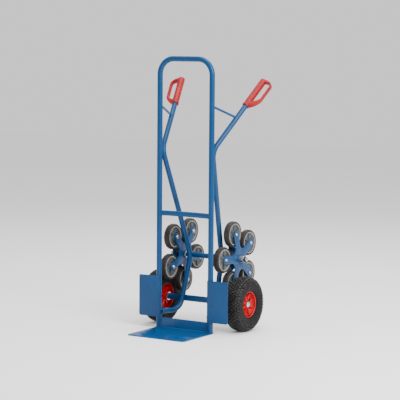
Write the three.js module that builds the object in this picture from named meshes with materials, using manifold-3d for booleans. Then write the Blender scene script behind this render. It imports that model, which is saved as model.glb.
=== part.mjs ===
// A stair-climbing hand truck: a hoop of bent steel tube with a toe plate, two splayed handle tubes with
// guarded grips, two pneumatic wheels, and two stars that each carry five small wheels.
// Millimetres, +Z up, +X to the right as seen from the front, +Y towards the wheels.
// The pieces are placed from the rails' plane (Y = 0) and the floor (Z = 0), and the whole group is then
// moved so that its origin is the middle of the bounding box's underside.
import * as THREE from "three";
import { mergeVertices } from "three/addons/utils/BufferGeometryUtils.js";
import Module from "manifold-3d";

const wasm = await Module();
wasm.setup();

// Fits
const GAP = 0.3; // between pieces that touch or are welded together
const RUNNING_GAP = 0.6; // radial, between a shaft and what turns on it
const WELD_GAP = 0.8; // where a bent tube leans on a rail
const CUT_PAST = 1; // how far a cutting shape runs past what it cuts

// Main frame hoop
const FRAME_HEIGHT = 1300;
const RAIL_SPACING = 290; // between the rails' centre lines
const RAIL_R = 13;
const TUBE_WALL = 2;
const HOOP_BEND_R = 75;
const FOOT_CORNER_R = 18; // rounded rear corner of the rails' feet and of the tabs under them

// Upper cross bar
const CROSS_BAR_Z = 555.5;
const CROSS_BAR_R = 12.5;
const CROSS_BAR_BOW = 13;

// Toe plate
const PLATE_T = 5;
const PLATE_REACH = 251.3; // from the rails' plane to the front edge
const FLANGE_TOP_Z = 53.5;
const PLATE_BEND_R = 6;
const PLATE_CORNER_R = 15;

// Wheel guards
const GUARD_T = 3;
const GUARD_W = 114;
const GUARD_H = 198;
const GUARD_INSET = 9.5; // how far a guard reaches inwards past its rail's centre line
const GUARD_LIFT = 2.5; // above the toe plate's flange
const GUARD_CORNER_R = 9;

// Main wheels
const TYRE_R = 130;
const TYRE_W = 85;
const TYRE_WALL = 7;
const TYRE_TO_RAILS = 27; // from the rails' plane to the tyre's front
const TYRE_CROWN_HALF_W = 19.5;
const TYRE_SHOULDER_DROP = 12;
const TYRE_SHOULDER_INSET = 5;
const TYRE_WIDEST_SHARE = 0.42; // of the way from the rim to the crown
const TYRE_BEAD_RISE = 5;
const TYRE_BEAD_FLARE = 6;
const RIM_R = 61.6;
const RIM_W = 63.4;
const RIM_LIP_T = 4;
const RIM_LIP_CHAMFER = 3;
const RIM_WELL_DEPTH = 9.6; // from the lip's edge down to the barrel that the tyre sits on
const RIM_WALL = 5;
const RIM_WEB_T = 8;
const RIM_RIBS = 8;
const RIM_RIB_T = 5;
const RIM_RIB_HALF_W = 20;
const RIM_RIB_ROOT = 2; // how far a rib reaches into the hub and the barrel
const AXLE_R = 10;
const HUB_WALL = 8.4;
const WHEEL_TUBE_WALL = 4.4;
const WASHER_SPACE = 4; // between the wheel cross tube and a main wheel's hub
const AXLE_CAP_LIP = 4; // how far the cap stands out past the axle
const AXLE_CAP_T = 5;
const HUB_RECESS = 8; // from the rim's outer face to the hub's end

// Star wheel sets
const STAR_ARMS = 5;
const SMALL_WHEEL_R = 62.5;
const SMALL_WHEEL_W = 32;
const SMALL_WHEEL_SPACE = 21.2; // between neighbouring small wheels
const SMALL_TYRE_T = 10.5;
const SMALL_TYRE_SIDE_STEP = 2;
const SMALL_TYRE_SHOULDER_DROP = 3;
const SMALL_TYRE_SHOULDER_W = 7;
const SMALL_BOSS_WALL = 11.4;
const SMALL_WEB_HALF_T = 5;
const SMALL_RIM_HALF_W = 14;
const STAR_PLATE_T = 4;
const STAR_PLATE_SPACE = 35; // between a star's two plates
const STAR_ARM_HALF_W = 20;
const STAR_NOTCH_BOTTOM_R = 55;
const STAR_OUTBOARD = 8; // from a rail's centre line to its star's middle
const STAR_TO_RAILS = 14.5; // from the rails' rear to the star wheels' sweep
const STAR_TO_WHEEL_TUBE = 10.6;
const STAR_PHASES = { left: 59.8, right: 33 }; // degrees from +Y towards +Z to the first arm
const BOLT_R = 6;
const BOLT_HEAD_LIP = 4; // how far the domed head stands out past the shank
const BOLT_HEAD_T = 5.5;
const NUT_T = 8;
const STAR_HUB_WALL = 5.9;
const STAR_HUB_OUT = 28; // how far the hub sleeve stands out of the outer plate
const STAR_COLLAR_LIP = 4; // how far the collar stands out past the axle
const STAR_COLLAR_T = 5;
const STAR_AXLE_OUT = 7; // how far the star axle stands out of its collar
const STAR_TUBE_WALL = 1.9;
const STAR_TO_TYRE = 11; // from the bolt heads to the main tyre's side

// Handle tubes, stays and grips
const HANDLE_R = 12.5;
const HANDLE_BEND_BELOW_TOP = 440.5;
const HANDLE_BEND_R = 70;
const HANDLE_BEND_INSET = 4.9; // inwards of the rail's centre line
const HANDLE_TOP_BELOW_TOP = 112.7;
const HANDLE_TOP_OUT = 89.4; // outwards of the rail's centre line
const HANDLE_TOP_BACK = 326.4;
const HANDLE_KINK_INSET = 57;
const HANDLE_KINK_R = 120;
const HANDLE_AXLE_INSET = 48; // where it passes in front of the wheel cross tube
const HANDLE_FOOT_Z = 80;
const HANDLE_FOOT_R = 65;
const HANDLE_FOOT_INSET = 5;
const STAY_R = 5;
const STAY_BELOW_TOP = 230;
const STAY_FROM_GRIP = 76; // along the handle tube, below the grip
const GRIP_LENGTH = 172;
const GRIP_WALL = 4;
const GRIP_COLLAR_LIP = 1.5;
const GRIP_COLLAR_LENGTH = 9;
const GRIP_COLLAR_TAPER = 2;
const GRIP_NOSE_LENGTH = 10;
const GRIP_NOSE_INSET = 6;
const GRIP_END_WALL = 14;
const LOOP_REACH = 54; // from the tube's axis to the middle of the hand guard's strand
const LOOP_T = 6;
const LOOP_W = 21;
const LOOP_TURN = 6; // degrees that the hand guard is turned about the tube, down from outboard
const LOOP_START = 1; // where the guard's outside leaves the sleeve, along the grip
const LOOP_BELLY = 23.5; // where its lower curve turns
const LOOP_LOW = 56; // where the strand starts
const LOOP_HIGH = 140; // where the strand ends
const LOOP_CROWN_INSET = 2; // from the guard's crown to the grip's end
const LOOP_CROWN_T = 15;
const LOOP_GAP_START = 27.7; // where the finger gap starts, along the grip
const LOOP_GAP_CORNER = 14;
const LOOP_ROOT = 3; // how far the guard reaches into the sleeve

// Facets
const TUBE_SIDES = 12;
const BORE_SIDES = 8;
const STAY_SIDES = 8;
const CURVE_SEGMENTS = 3;
const HOOP_BEND_STEPS = 5;
const HANDLE_BEND_STEPS = 4;
const CROSS_BAR_STEPS = 6;
const WHEEL_SEGMENTS = 24;
const SMALL_WHEEL_SEGMENTS = 16;
const SHAFT_SEGMENTS = 12;
const BOLT_SIDES = 6;

// Places that follow from the sizes
const wheelTubeR = AXLE_R + RUNNING_GAP + WHEEL_TUBE_WALL;
const starTubeR = AXLE_R + RUNNING_GAP + STAR_TUBE_WALL;
const starHubR = AXLE_R + RUNNING_GAP + STAR_HUB_WALL;
const hubR = AXLE_R + RUNNING_GAP + HUB_WALL;
const rimBarrelR = RIM_R - RIM_WELL_DEPTH;
const smallBoreR = SMALL_WHEEL_R - SMALL_TYRE_T;
const smallBossR = BOLT_R + RUNNING_GAP + SMALL_BOSS_WALL;
const gripR = HANDLE_R + GRIP_WALL;
const gripCollarR = gripR + GRIP_COLLAR_LIP;
const railX = RAIL_SPACING / 2;
const axleY = TYRE_R + TYRE_TO_RAILS;
const starR = (SMALL_WHEEL_R + SMALL_WHEEL_SPACE / 2) / Math.sin(Math.PI / STAR_ARMS);
const starSweep = starR + SMALL_WHEEL_R;
const starY = RAIL_R + STAR_TO_RAILS + starSweep;
const starToAxle = starSweep + wheelTubeR + STAR_TO_WHEEL_TUBE;
const starZ = TYRE_R + Math.sqrt(starToAxle ** 2 - (starY - axleY) ** 2);
const starX = railX + STAR_OUTBOARD;
const starHalf = STAR_PLATE_SPACE / 2 + STAR_PLATE_T;
const wheelX = starX + starHalf + BOLT_HEAD_T + STAR_TO_TYRE + TYRE_W / 2;
const hubOuterX = wheelX + RIM_W / 2 - HUB_RECESS;
const wheelTubeX = wheelX - TYRE_W / 2;
const hubInnerX = wheelTubeX + WASHER_SPACE;
const starHubOuterX = starX + starHalf + STAR_HUB_OUT;
const starTubeX = starX - starHalf - NUT_T;
const railBottomZ = PLATE_T + GAP;

const SIDES = [["left", -1], ["right", 1]];
const X_AXIS = new THREE.Vector3(1, 0, 0);
const Y_AXIS = new THREE.Vector3(0, 1, 0);
const Z_AXIS = new THREE.Vector3(0, 0, 1);
const point = (x, y, z) => new THREE.Vector3(x, y, z);

// Materials
function paint(color, roughness, metalness) {
  return new THREE.MeshStandardMaterial({ color, roughness, metalness });
}

const BLUE_PAINT = paint(0x1e5b90, 0.38, 0.1);
const RED_PLASTIC = paint(0xe3202b, 0.4, 0);
const BLACK_RUBBER = paint(0x2c2b2b, 0.85, 0);
const GREY_RUBBER = paint(0x4a4746, 0.75, 0);
const GREY_PLASTIC = paint(0xa5a39d, 0.55, 0);
const ZINC = paint(0xb9bcc0, 0.35, 0.9);

// ---- Geometry helpers ----

// A path through fixed stations, so that an extrusion steps only where its tube bends.
class StationPath extends THREE.Curve {
  constructor(points, tangents) {
    super();
    this.points = points;
    this.tangents = tangents;
  }

  stationAt(u) {
    return Math.round(u * (this.points.length - 1));
  }

  getPointAt(u) {
    return this.points[this.stationAt(u)].clone();
  }

  getTangentAt(u) {
    return this.tangents[this.stationAt(u)].clone();
  }
}

// Straight runs between corners, with an arc of the given radius at each inner corner.
function bentPath(corners, bendRadii, steps) {
  const points = [corners[0]];
  const tangents = [corners[1].clone().sub(corners[0]).normalize()];
  bendRadii.forEach((bendR, i) => {
    const before = corners[i + 1].clone().sub(corners[i]).normalize();
    const after = corners[i + 2].clone().sub(corners[i + 1]).normalize();
    const turn = before.angleTo(after);
    const inwards = after.clone().addScaledVector(before, -before.dot(after)).normalize();
    const start = corners[i + 1].clone().addScaledVector(before, -bendR * Math.tan(turn / 2));
    for (let k = 0; k <= steps; k++) {
      const angle = (turn * k) / steps;
      const along = bendR * Math.sin(angle);
      const across = bendR * (1 - Math.cos(angle));
      points.push(start.clone().addScaledVector(before, along).addScaledVector(inwards, across));
      const tangent = before.clone().multiplyScalar(Math.cos(angle));
      tangents.push(tangent.addScaledVector(inwards, Math.sin(angle)));
    }
  });
  points.push(corners.at(-1));
  tangents.push(corners.at(-1).clone().sub(corners.at(-2)).normalize());
  return new StationPath(points, tangents);
}

function circlePoints(radius, sides, [centreX, centreY] = [0, 0]) {
  const points = [];
  for (let k = 0; k < sides; k++) {
    const angle = (2 * Math.PI * k) / sides;
    const x = centreX + radius * Math.cos(angle);
    points.push(new THREE.Vector2(x, centreY + radius * Math.sin(angle)));
  }
  return points;
}

// A tube along a path; an inner radius of 0 makes a solid rod.
function tube(path, outerR, innerR, sides = TUBE_SIDES, boreSides = sides) {
  const section = new THREE.Shape(circlePoints(outerR, sides));
  if (innerR > 0) section.holes.push(new THREE.Path(circlePoints(innerR, boreSides)));
  return new THREE.ExtrudeGeometry(section, { steps: path.points.length - 1, extrudePath: path });
}

const bentTube = (path, outerR) => tube(path, outerR, outerR - TUBE_WALL, TUBE_SIDES, BORE_SIDES);

function straightTube(start, end, outerR, innerR, sides) {
  return tube(bentPath([start, end], [], 0), outerR, innerR, sides);
}

// A body of revolution about X from a closed list of [radius, x] pairs.
function turned(profile, segments) {
  const points = profile.map(([radius, x]) => new THREE.Vector2(radius, x));
  const geometry = new THREE.LatheGeometry([...points, points[0].clone()], segments);
  return geometry.rotateZ(-Math.PI / 2);
}

// A flat sheet of a drawn outline, from Z = 0 up.
function flatSheet(shape, thickness) {
  const options = { depth: thickness, bevelEnabled: false, curveSegments: CURVE_SEGMENTS };
  return new THREE.ExtrudeGeometry(shape, options);
}

// A plate across X from a shape drawn in Y and Z, centred on X = 0.
function plateAcrossX(shape, thickness) {
  const geometry = flatSheet(shape, thickness);
  geometry.translate(0, 0, -thickness / 2);
  return geometry.applyMatrix4(new THREE.Matrix4().makeBasis(Y_AXIS, Z_AXIS, X_AXIS));
}

// The radius of a many-sided bore whose flats clear a round piece by the gap.
const clearR = (radius, sides = TUBE_SIDES) => (radius + GAP) / Math.cos(Math.PI / sides);

function toSolid(geometry) {
  const bare = geometry.clone();
  bare.deleteAttribute("normal");
  bare.deleteAttribute("uv");
  const merged = mergeVertices(bare);
  const vertProperties = merged.attributes.position.array;
  const triVerts = new Uint32Array(merged.index.array);
  return new wasm.Manifold(new wasm.Mesh({ numProp: 3, vertProperties, triVerts }));
}

function toGeometry(solid) {
  const mesh = solid.getMesh();
  const geometry = new THREE.BufferGeometry();
  geometry.setAttribute("position", new THREE.BufferAttribute(mesh.vertProperties, 3));
  geometry.setIndex(new THREE.BufferAttribute(mesh.triVerts, 1));
  geometry.computeVertexNormals();
  return geometry;
}

function cut(geometry, ...cutters) {
  return toGeometry(cutters.reduce((solid, cutter) => solid.subtract(toSolid(cutter)), toSolid(geometry)));
}

function join(first, ...others) {
  return toGeometry(others.reduce((solid, other) => solid.add(toSolid(other)), toSolid(first)));
}

function keepInside(geometry, outline) {
  return toGeometry(toSolid(geometry).intersect(toSolid(outline)));
}

function mesh(name, geometry, material) {
  const object = new THREE.Mesh(geometry, material);
  object.name = name;
  return object;
}

function groupAt(position, ...children) {
  const group = new THREE.Group();
  group.position.copy(position);
  group.add(...children);
  return group;
}

// ---- Frame ----

// A rail's outside with the gap of a touching piece, used to cope what is welded to it.
function grownRail(side) {
  const low = point(side * railX, 0, -CUT_PAST);
  const high = point(side * railX, 0, FRAME_HEIGHT - HOOP_BEND_R);
  return straightTube(low, high, clearR(RAIL_R), 0);
}

function grownCrossTube(y, z, radius) {
  return straightTube(point(-railX, y, z), point(railX, y, z), clearR(radius), 0);
}

// The space behind the rounded lower rear corner of the rails' feet, right across the frame.
function footCorner() {
  const rearY = RAIL_R + GAP;
  const shape = new THREE.Shape();
  shape.moveTo(rearY, -CUT_PAST);
  shape.lineTo(rearY + GAP, -CUT_PAST);
  shape.lineTo(rearY + GAP, FOOT_CORNER_R);
  shape.lineTo(rearY, FOOT_CORNER_R);
  shape.absarc(rearY - FOOT_CORNER_R, FOOT_CORNER_R, FOOT_CORNER_R, 0, -Math.PI / 2, true);
  shape.lineTo(rearY - FOOT_CORNER_R, -CUT_PAST);
  return plateAcrossX(shape, 2 * (railX + 2 * RAIL_R));
}

function mainFrameHoop() {
  const top = FRAME_HEIGHT - RAIL_R;
  const corners = [
    point(-railX, 0, railBottomZ),
    point(-railX, 0, top),
    point(railX, 0, top),
    point(railX, 0, railBottomZ),
  ];
  const hoop = bentTube(bentPath(corners, [HOOP_BEND_R, HOOP_BEND_R], HOOP_BEND_STEPS), RAIL_R);
  return mesh("main_frame_hoop", cut(hoop, footCorner()), BLUE_PAINT);
}

// A bar between the rails, bowed back in its middle.
function upperCrossBar() {
  const bowR = (railX ** 2 + CROSS_BAR_BOW ** 2) / (2 * CROSS_BAR_BOW);
  const sweep = Math.asin(railX / bowR);
  const points = [];
  const tangents = [];
  for (let k = 0; k <= CROSS_BAR_STEPS; k++) {
    const angle = sweep * ((2 * k) / CROSS_BAR_STEPS - 1);
    points.push(point(bowR * Math.sin(angle), CROSS_BAR_BOW - bowR * (1 - Math.cos(angle)), CROSS_BAR_Z));
    tangents.push(point(Math.cos(angle), -Math.sin(angle), 0));
  }
  const bar = bentTube(new StationPath(points, tangents), CROSS_BAR_R);
  const between = new THREE.BoxGeometry(2 * railX, 4 * (CROSS_BAR_R + CROSS_BAR_BOW), 4 * CROSS_BAR_R);
  between.translate(0, 0, CROSS_BAR_Z);
  return mesh("upper_cross_bar", cut(keepInside(bar, between), grownRail(-1), grownRail(1)), BLUE_PAINT);
}

// One sheet: the blade on the floor, a flange bent up between the rails, and a tab under each rail.
function toePlate() {
  const halfW = railX + RAIL_R;
  const flangeHalfW = railX - RAIL_R - GAP;
  const flangeRearY = PLATE_T / 2;
  const outerR = PLATE_BEND_R + PLATE_T;
  const bendY = flangeRearY - outerR;
  const rootY = bendY - PLATE_T;
  const profile = new THREE.Shape();
  profile.moveTo(rootY, 0);
  profile.lineTo(bendY, 0);
  profile.absarc(bendY, outerR, outerR, -Math.PI / 2, 0, false);
  profile.lineTo(flangeRearY, FLANGE_TOP_Z);
  profile.lineTo(-flangeRearY, FLANGE_TOP_Z);
  profile.lineTo(-flangeRearY, outerR);
  profile.absarc(bendY, outerR, PLATE_BEND_R, 0, -Math.PI / 2, true);
  profile.lineTo(rootY, PLATE_T);
  const flange = plateAcrossX(profile, 2 * flangeHalfW);

  const cornerX = halfW - PLATE_CORNER_R;
  const cornerY = PLATE_CORNER_R - PLATE_REACH;
  const tabX = flangeHalfW + GAP;
  const plan = new THREE.Shape();
  plan.moveTo(-halfW, RAIL_R);
  plan.lineTo(-halfW, cornerY);
  plan.absarc(-cornerX, cornerY, PLATE_CORNER_R, Math.PI, 1.5 * Math.PI, false);
  plan.absarc(cornerX, cornerY, PLATE_CORNER_R, -Math.PI / 2, 0, false);
  plan.lineTo(halfW, RAIL_R);
  plan.lineTo(tabX, RAIL_R);
  plan.lineTo(tabX, bendY);
  plan.lineTo(-tabX, bendY);
  plan.lineTo(-tabX, RAIL_R);
  const blade = cut(flatSheet(plan, PLATE_T), footCorner());
  return mesh("toe_plate", join(blade, flange), BLUE_PAINT);
}

// A flat sheet in front of a rail and its wheel, with rounded outer corners.
function wheelGuard(name, side) {
  const innerX = railX - GUARD_INSET;
  const outerX = innerX + GUARD_W;
  const low = FLANGE_TOP_Z + GUARD_LIFT;
  const high = low + GUARD_H;
  const cornerX = outerX - GUARD_CORNER_R;
  const shape = new THREE.Shape();
  shape.moveTo(innerX, low);
  shape.absarc(cornerX, low + GUARD_CORNER_R, GUARD_CORNER_R, -Math.PI / 2, 0, false);
  shape.absarc(cornerX, high - GUARD_CORNER_R, GUARD_CORNER_R, 0, Math.PI / 2, false);
  shape.lineTo(innerX, high);
  const sheet = flatSheet(shape, GUARD_T);
  sheet.rotateX(Math.PI / 2);
  if (side < 0) sheet.rotateZ(Math.PI).translate(0, -GUARD_T, 0);
  const guard = mesh(name, sheet, BLUE_PAINT);
  guard.position.y = -(RAIL_R + GAP);
  return guard;
}

// ---- Handles ----

// The corners of a handle tube's centre line, from its top end down to the foot of the rail.
function handleCorners(side) {
  const top = point(railX + HANDLE_TOP_OUT, HANDLE_TOP_BACK, FRAME_HEIGHT - HANDLE_TOP_BELOW_TOP);
  const lean = RAIL_R + HANDLE_R + WELD_GAP;
  const bend = point(railX - HANDLE_BEND_INSET, lean, FRAME_HEIGHT - HANDLE_BEND_BELOW_TOP);
  const kinkY = starY - starTubeR - HANDLE_R - GAP;
  const kink = point(railX - HANDLE_KINK_INSET, kinkY, starZ);
  const passY = axleY - wheelTubeR - HANDLE_R - GAP;
  const pass = point(railX - HANDLE_AXLE_INSET, passY, TYRE_R);
  const down = pass.clone().sub(kink);
  const low = kink.clone().addScaledVector(down, (HANDLE_FOOT_Z - kink.z) / down.z);
  const foot = point(railX - HANDLE_FOOT_INSET, 0, HANDLE_FOOT_Z);
  const turn = bend.clone().sub(top).angleTo(kink.clone().sub(bend));
  bend.y -= HANDLE_BEND_R * (1 / Math.cos(turn / 2) - 1);
  return [top, bend, kink, low, foot].map((corner) => point(side * corner.x, corner.y, corner.z));
}

function upperRun(side) {
  const [top, bend] = handleCorners(side);
  return { top, down: bend.clone().sub(top).normalize() };
}

function handleTube(name, side) {
  const corners = handleCorners(side);
  const { down } = upperRun(side);
  corners[0].addScaledVector(down, GRIP_END_WALL);
  const path = bentPath(corners, [HANDLE_BEND_R, HANDLE_KINK_R, HANDLE_FOOT_R], HANDLE_BEND_STEPS);
  const wheelTube = grownCrossTube(axleY, TYRE_R, wheelTubeR);
  const starTube = grownCrossTube(starY, starZ, starTubeR);
  return mesh(name, cut(bentTube(path, HANDLE_R), grownRail(side), wheelTube, starTube), BLUE_PAINT);
}

function handleStay(name, side) {
  const { top, down } = upperRun(side);
  const onTube = top.clone().addScaledVector(down, GRIP_LENGTH + STAY_FROM_GRIP);
  const onRail = point(side * railX, 0, FRAME_HEIGHT - STAY_BELOW_TOP);
  const farDown = top.clone().addScaledVector(down, GRIP_LENGTH + 2 * STAY_FROM_GRIP);
  const tubeAround = straightTube(top, farDown, clearR(HANDLE_R), 0);
  const rod = straightTube(onRail, onTube, STAY_R, 0, STAY_SIDES);
  return mesh(name, cut(rod, tubeAround, grownRail(side)), BLUE_PAINT);
}

// A closed sleeve with a D-shaped hand guard, drawn with Z along the tube and X towards the guard.
function gripGeometry() {
  const sleeve = turned(
    [
      [0, 0],
      [gripCollarR, 0],
      [gripCollarR, GRIP_COLLAR_LENGTH],
      [gripR, GRIP_COLLAR_LENGTH + GRIP_COLLAR_TAPER],
      [gripR, GRIP_LENGTH - GRIP_NOSE_LENGTH],
      [gripR - GRIP_NOSE_INSET, GRIP_LENGTH],
      [0, GRIP_LENGTH],
    ],
    TUBE_SIDES,
  ).rotateY(-Math.PI / 2);

  const outer = LOOP_REACH + LOOP_T / 2;
  const inner = LOOP_REACH - LOOP_T / 2;
  const crown = GRIP_LENGTH - LOOP_CROWN_INSET;
  const gapTop = crown - LOOP_CROWN_T;
  const loop = new THREE.Shape();
  loop.moveTo(0, LOOP_START);
  loop.lineTo(gripCollarR - LOOP_ROOT, LOOP_START);
  loop.quadraticCurveTo(outer - LOOP_T, LOOP_BELLY, outer, LOOP_LOW);
  loop.lineTo(outer, LOOP_HIGH);
  loop.quadraticCurveTo(outer, crown - LOOP_T, gripR + LOOP_T, crown);
  loop.lineTo(0, crown);
  const gap = new THREE.Path();
  gap.moveTo(gripR - LOOP_ROOT, LOOP_GAP_START);
  gap.quadraticCurveTo(inner - LOOP_T, LOOP_LOW - 2 * LOOP_T, inner, LOOP_LOW + LOOP_T);
  gap.lineTo(inner, LOOP_HIGH);
  gap.quadraticCurveTo(inner, gapTop, inner - LOOP_GAP_CORNER, gapTop);
  gap.lineTo(gripR - LOOP_ROOT, gapTop);
  loop.holes.push(gap);
  const band = flatSheet(loop, LOOP_W);
  band.translate(0, 0, -LOOP_W / 2).rotateX(Math.PI / 2);

  const boreEnd = point(0, 0, GRIP_LENGTH - GRIP_END_WALL + GAP);
  const bore = straightTube(point(0, 0, -CUT_PAST), boreEnd, clearR(HANDLE_R), 0);
  return cut(join(sleeve, band), bore);
}

function handleGrip(name, side) {
  const { top, down } = upperRun(side);
  const up = down.clone().negate();
  const outboard = point(side, 0, 0).projectOnPlane(up).normalize();
  const turn = side * THREE.MathUtils.degToRad(LOOP_TURN);
  outboard.applyAxisAngle(up, turn);
  const grip = mesh(name, gripGeometry(), RED_PLASTIC);
  grip.position.copy(top).addScaledVector(down, GRIP_LENGTH);
  const basis = new THREE.Matrix4().makeBasis(outboard, up.clone().cross(outboard), up);
  grip.quaternion.setFromRotationMatrix(basis);
  return grip;
}

// ---- Axles and cross tubes ----

function shaft(name, centre, halfLength, outerR, innerR, material) {
  const ends = [point(-halfLength, 0, 0), point(halfLength, 0, 0)];
  const piece = mesh(name, straightTube(...ends, outerR, innerR, SHAFT_SEGMENTS), material);
  piece.position.copy(centre);
  return piece;
}

function axleParts() {
  const wheelAxle = point(0, axleY, TYRE_R);
  const starAxle = point(0, starY, starZ);
  const collarX = starHubOuterX + GAP;
  const boreR = AXLE_R + RUNNING_GAP;
  const capR = AXLE_R + AXLE_CAP_LIP;
  const collarR = AXLE_R + STAR_COLLAR_LIP;
  const parts = [
    shaft("wheel_cross_tube", wheelAxle, wheelTubeX, wheelTubeR, boreR, BLUE_PAINT),
    shaft("wheel_axle", wheelAxle, hubOuterX, AXLE_R, 0, ZINC),
    shaft("star_cross_tube", starAxle, starTubeX, starTubeR, boreR, BLUE_PAINT),
    shaft("star_axle", starAxle, collarX + STAR_COLLAR_T + STAR_AXLE_OUT, AXLE_R, 0, ZINC),
  ];
  for (const [label, side] of SIDES) {
    const cap = shaft(`wheel_axle_cap_${label}`, wheelAxle, AXLE_CAP_T / 2, capR, 0, ZINC);
    cap.position.x = side * (hubOuterX + GAP + AXLE_CAP_T / 2);
    const collarName = `star_axle_collar_${label}`;
    const collar = shaft(collarName, starAxle, STAR_COLLAR_T / 2, collarR, AXLE_R + GAP, ZINC);
    collar.position.x = side * (collarX + STAR_COLLAR_T / 2);
    parts.push(cap, collar);
  }
  return parts;
}

// ---- Main wheels ----

// A hollow tyre, open towards its rim, with the tread's crown at the full radius.
function tyreGeometry() {
  const half = TYRE_W / 2;
  const bead = RIM_W / 2 - RIM_LIP_T - GAP;
  const bore = rimBarrelR + GAP;
  const widestR = RIM_R + TYRE_WIDEST_SHARE * (TYRE_R - RIM_R);
  const flareR = RIM_R + TYRE_BEAD_RISE;
  const halfSection = [
    [TYRE_R, TYRE_CROWN_HALF_W],
    [TYRE_R - TYRE_SHOULDER_DROP, half - TYRE_SHOULDER_INSET],
    [widestR, half],
    [flareR, bead + TYRE_BEAD_FLARE],
    [RIM_R + 2 * GAP, bead],
    [bore, bead],
    [bore, bead - TYRE_WALL],
    [flareR, bead - TYRE_WALL],
    [widestR, half - TYRE_WALL],
    [TYRE_R - TYRE_WALL, TYRE_CROWN_HALF_W - TYRE_WALL],
  ];
  const mirrored = halfSection.map(([radius, x]) => [radius, -x]).reverse();
  return turned([...halfSection, ...mirrored], WHEEL_SEGMENTS);
}

// A ribbed rim with its hub. The hub reaches to the axle's cap outside and to the washer inside.
function rimGeometry(side) {
  const half = RIM_W / 2;
  const hubOut = hubOuterX - wheelX;
  const hubIn = hubInnerX - wheelX;
  const boreR = AXLE_R + RUNNING_GAP;
  const barrelIn = rimBarrelR - RIM_WALL;
  const edgeR = RIM_R - RIM_LIP_CHAMFER;
  const web = RIM_WEB_T / 2;
  const profile = [
    [boreR, hubIn],
    [hubR, hubIn],
    [hubR, -web],
    [barrelIn, -web],
    [edgeR, -half],
    [RIM_R, -half],
    [RIM_R, -half + RIM_LIP_T],
    [rimBarrelR, -half + RIM_LIP_T],
    [rimBarrelR, half - RIM_LIP_T],
    [RIM_R, half - RIM_LIP_T],
    [RIM_R, half],
    [edgeR, half],
    [barrelIn, web],
    [hubR, web],
    [hubR, hubOut],
    [boreR, hubOut],
  ];
  const body = turned(profile, WHEEL_SEGMENTS);
  const ribs = [];
  for (let k = 0; k < RIM_RIBS; k++) {
    const rib = new THREE.BoxGeometry(2 * RIM_RIB_HALF_W, RIM_RIB_T, barrelIn - hubR + 2 * RIM_RIB_ROOT);
    rib.translate(0, 0, (barrelIn + hubR) / 2).rotateX((2 * Math.PI * (k + 0.5)) / RIM_RIBS);
    ribs.push(rib);
  }
  const rim = join(body, ...ribs);
  return side < 0 ? rim.rotateZ(Math.PI) : rim;
}

function mainWheel(label, side) {
  const tyre = mesh(`main_tyre_${label}`, tyreGeometry(), BLACK_RUBBER);
  const rim = mesh(`main_rim_${label}`, rimGeometry(side), RED_PLASTIC);
  return groupAt(point(side * wheelX, axleY, TYRE_R), tyre, rim);
}

// ---- Star wheel sets ----

// Arms with round ends, joined by round notches that run tangent to the arms' sides.
function starShape() {
  const step = (2 * Math.PI) / STAR_ARMS;
  const notchAt = (STAR_NOTCH_BOTTOM_R - STAR_ARM_HALF_W) / (1 - Math.sin(step / 2));
  const notchR = notchAt - STAR_NOTCH_BOTTOM_R;
  const shape = new THREE.Shape();
  for (let k = 0; k < STAR_ARMS; k++) {
    const arm = k * step;
    const notch = arm + step / 2;
    const tip = [starR * Math.cos(arm), starR * Math.sin(arm)];
    const bay = [notchAt * Math.cos(notch), notchAt * Math.sin(notch)];
    shape.absarc(...tip, STAR_ARM_HALF_W, arm - Math.PI / 2, arm + Math.PI / 2, false);
    shape.absarc(...bay, notchR, arm - Math.PI / 2, arm - Math.PI / 2 - (Math.PI - step), true);
    shape.holes.push(new THREE.Path(circlePoints(clearR(BOLT_R, BOLT_SIDES), BOLT_SIDES, tip)));
  }
  shape.holes.push(new THREE.Path(circlePoints(clearR(starHubR, SHAFT_SEGMENTS), SHAFT_SEGMENTS)));
  return shape;
}

function starBolt(name, side) {
  const head = starHalf + GAP;
  const headR = BOLT_R + BOLT_HEAD_LIP;
  const profile = [
    [0, -head - NUT_T],
    [headR, -head - NUT_T],
    [headR, -head],
    [BOLT_R, -head],
    [BOLT_R, head],
    [headR, head],
    [BOLT_R, head + BOLT_HEAD_T],
    [0, head + BOLT_HEAD_T],
  ];
  const bolt = turned(profile, BOLT_SIDES);
  return mesh(name, side < 0 ? bolt.rotateZ(Math.PI) : bolt, ZINC);
}

function smallWheel(name) {
  const half = SMALL_WHEEL_W / 2;
  const side = half - SMALL_TYRE_SIDE_STEP;
  const tread = half - SMALL_TYRE_SHOULDER_W;
  const shoulderR = SMALL_WHEEL_R - SMALL_TYRE_SHOULDER_DROP;
  const tyreProfile = [
    [smallBoreR, -side],
    [shoulderR, -half],
    [SMALL_WHEEL_R, -tread],
    [SMALL_WHEEL_R, tread],
    [shoulderR, half],
    [smallBoreR, side],
  ];
  const boss = STAR_PLATE_SPACE / 2 - GAP;
  const hubProfile = [
    [BOLT_R + RUNNING_GAP, -boss],
    [smallBossR, -boss],
    [smallBossR, -SMALL_WEB_HALF_T],
    [smallBoreR - GAP, -SMALL_RIM_HALF_W],
    [smallBoreR - GAP, SMALL_RIM_HALF_W],
    [smallBossR, SMALL_WEB_HALF_T],
    [smallBossR, boss],
    [BOLT_R + RUNNING_GAP, boss],
  ];
  return [
    mesh(`${name}_tyre`, turned(tyreProfile, SMALL_WHEEL_SEGMENTS), GREY_RUBBER),
    mesh(`${name}_hub`, turned(hubProfile, SMALL_WHEEL_SEGMENTS), GREY_PLASTIC),
  ];
}

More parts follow.
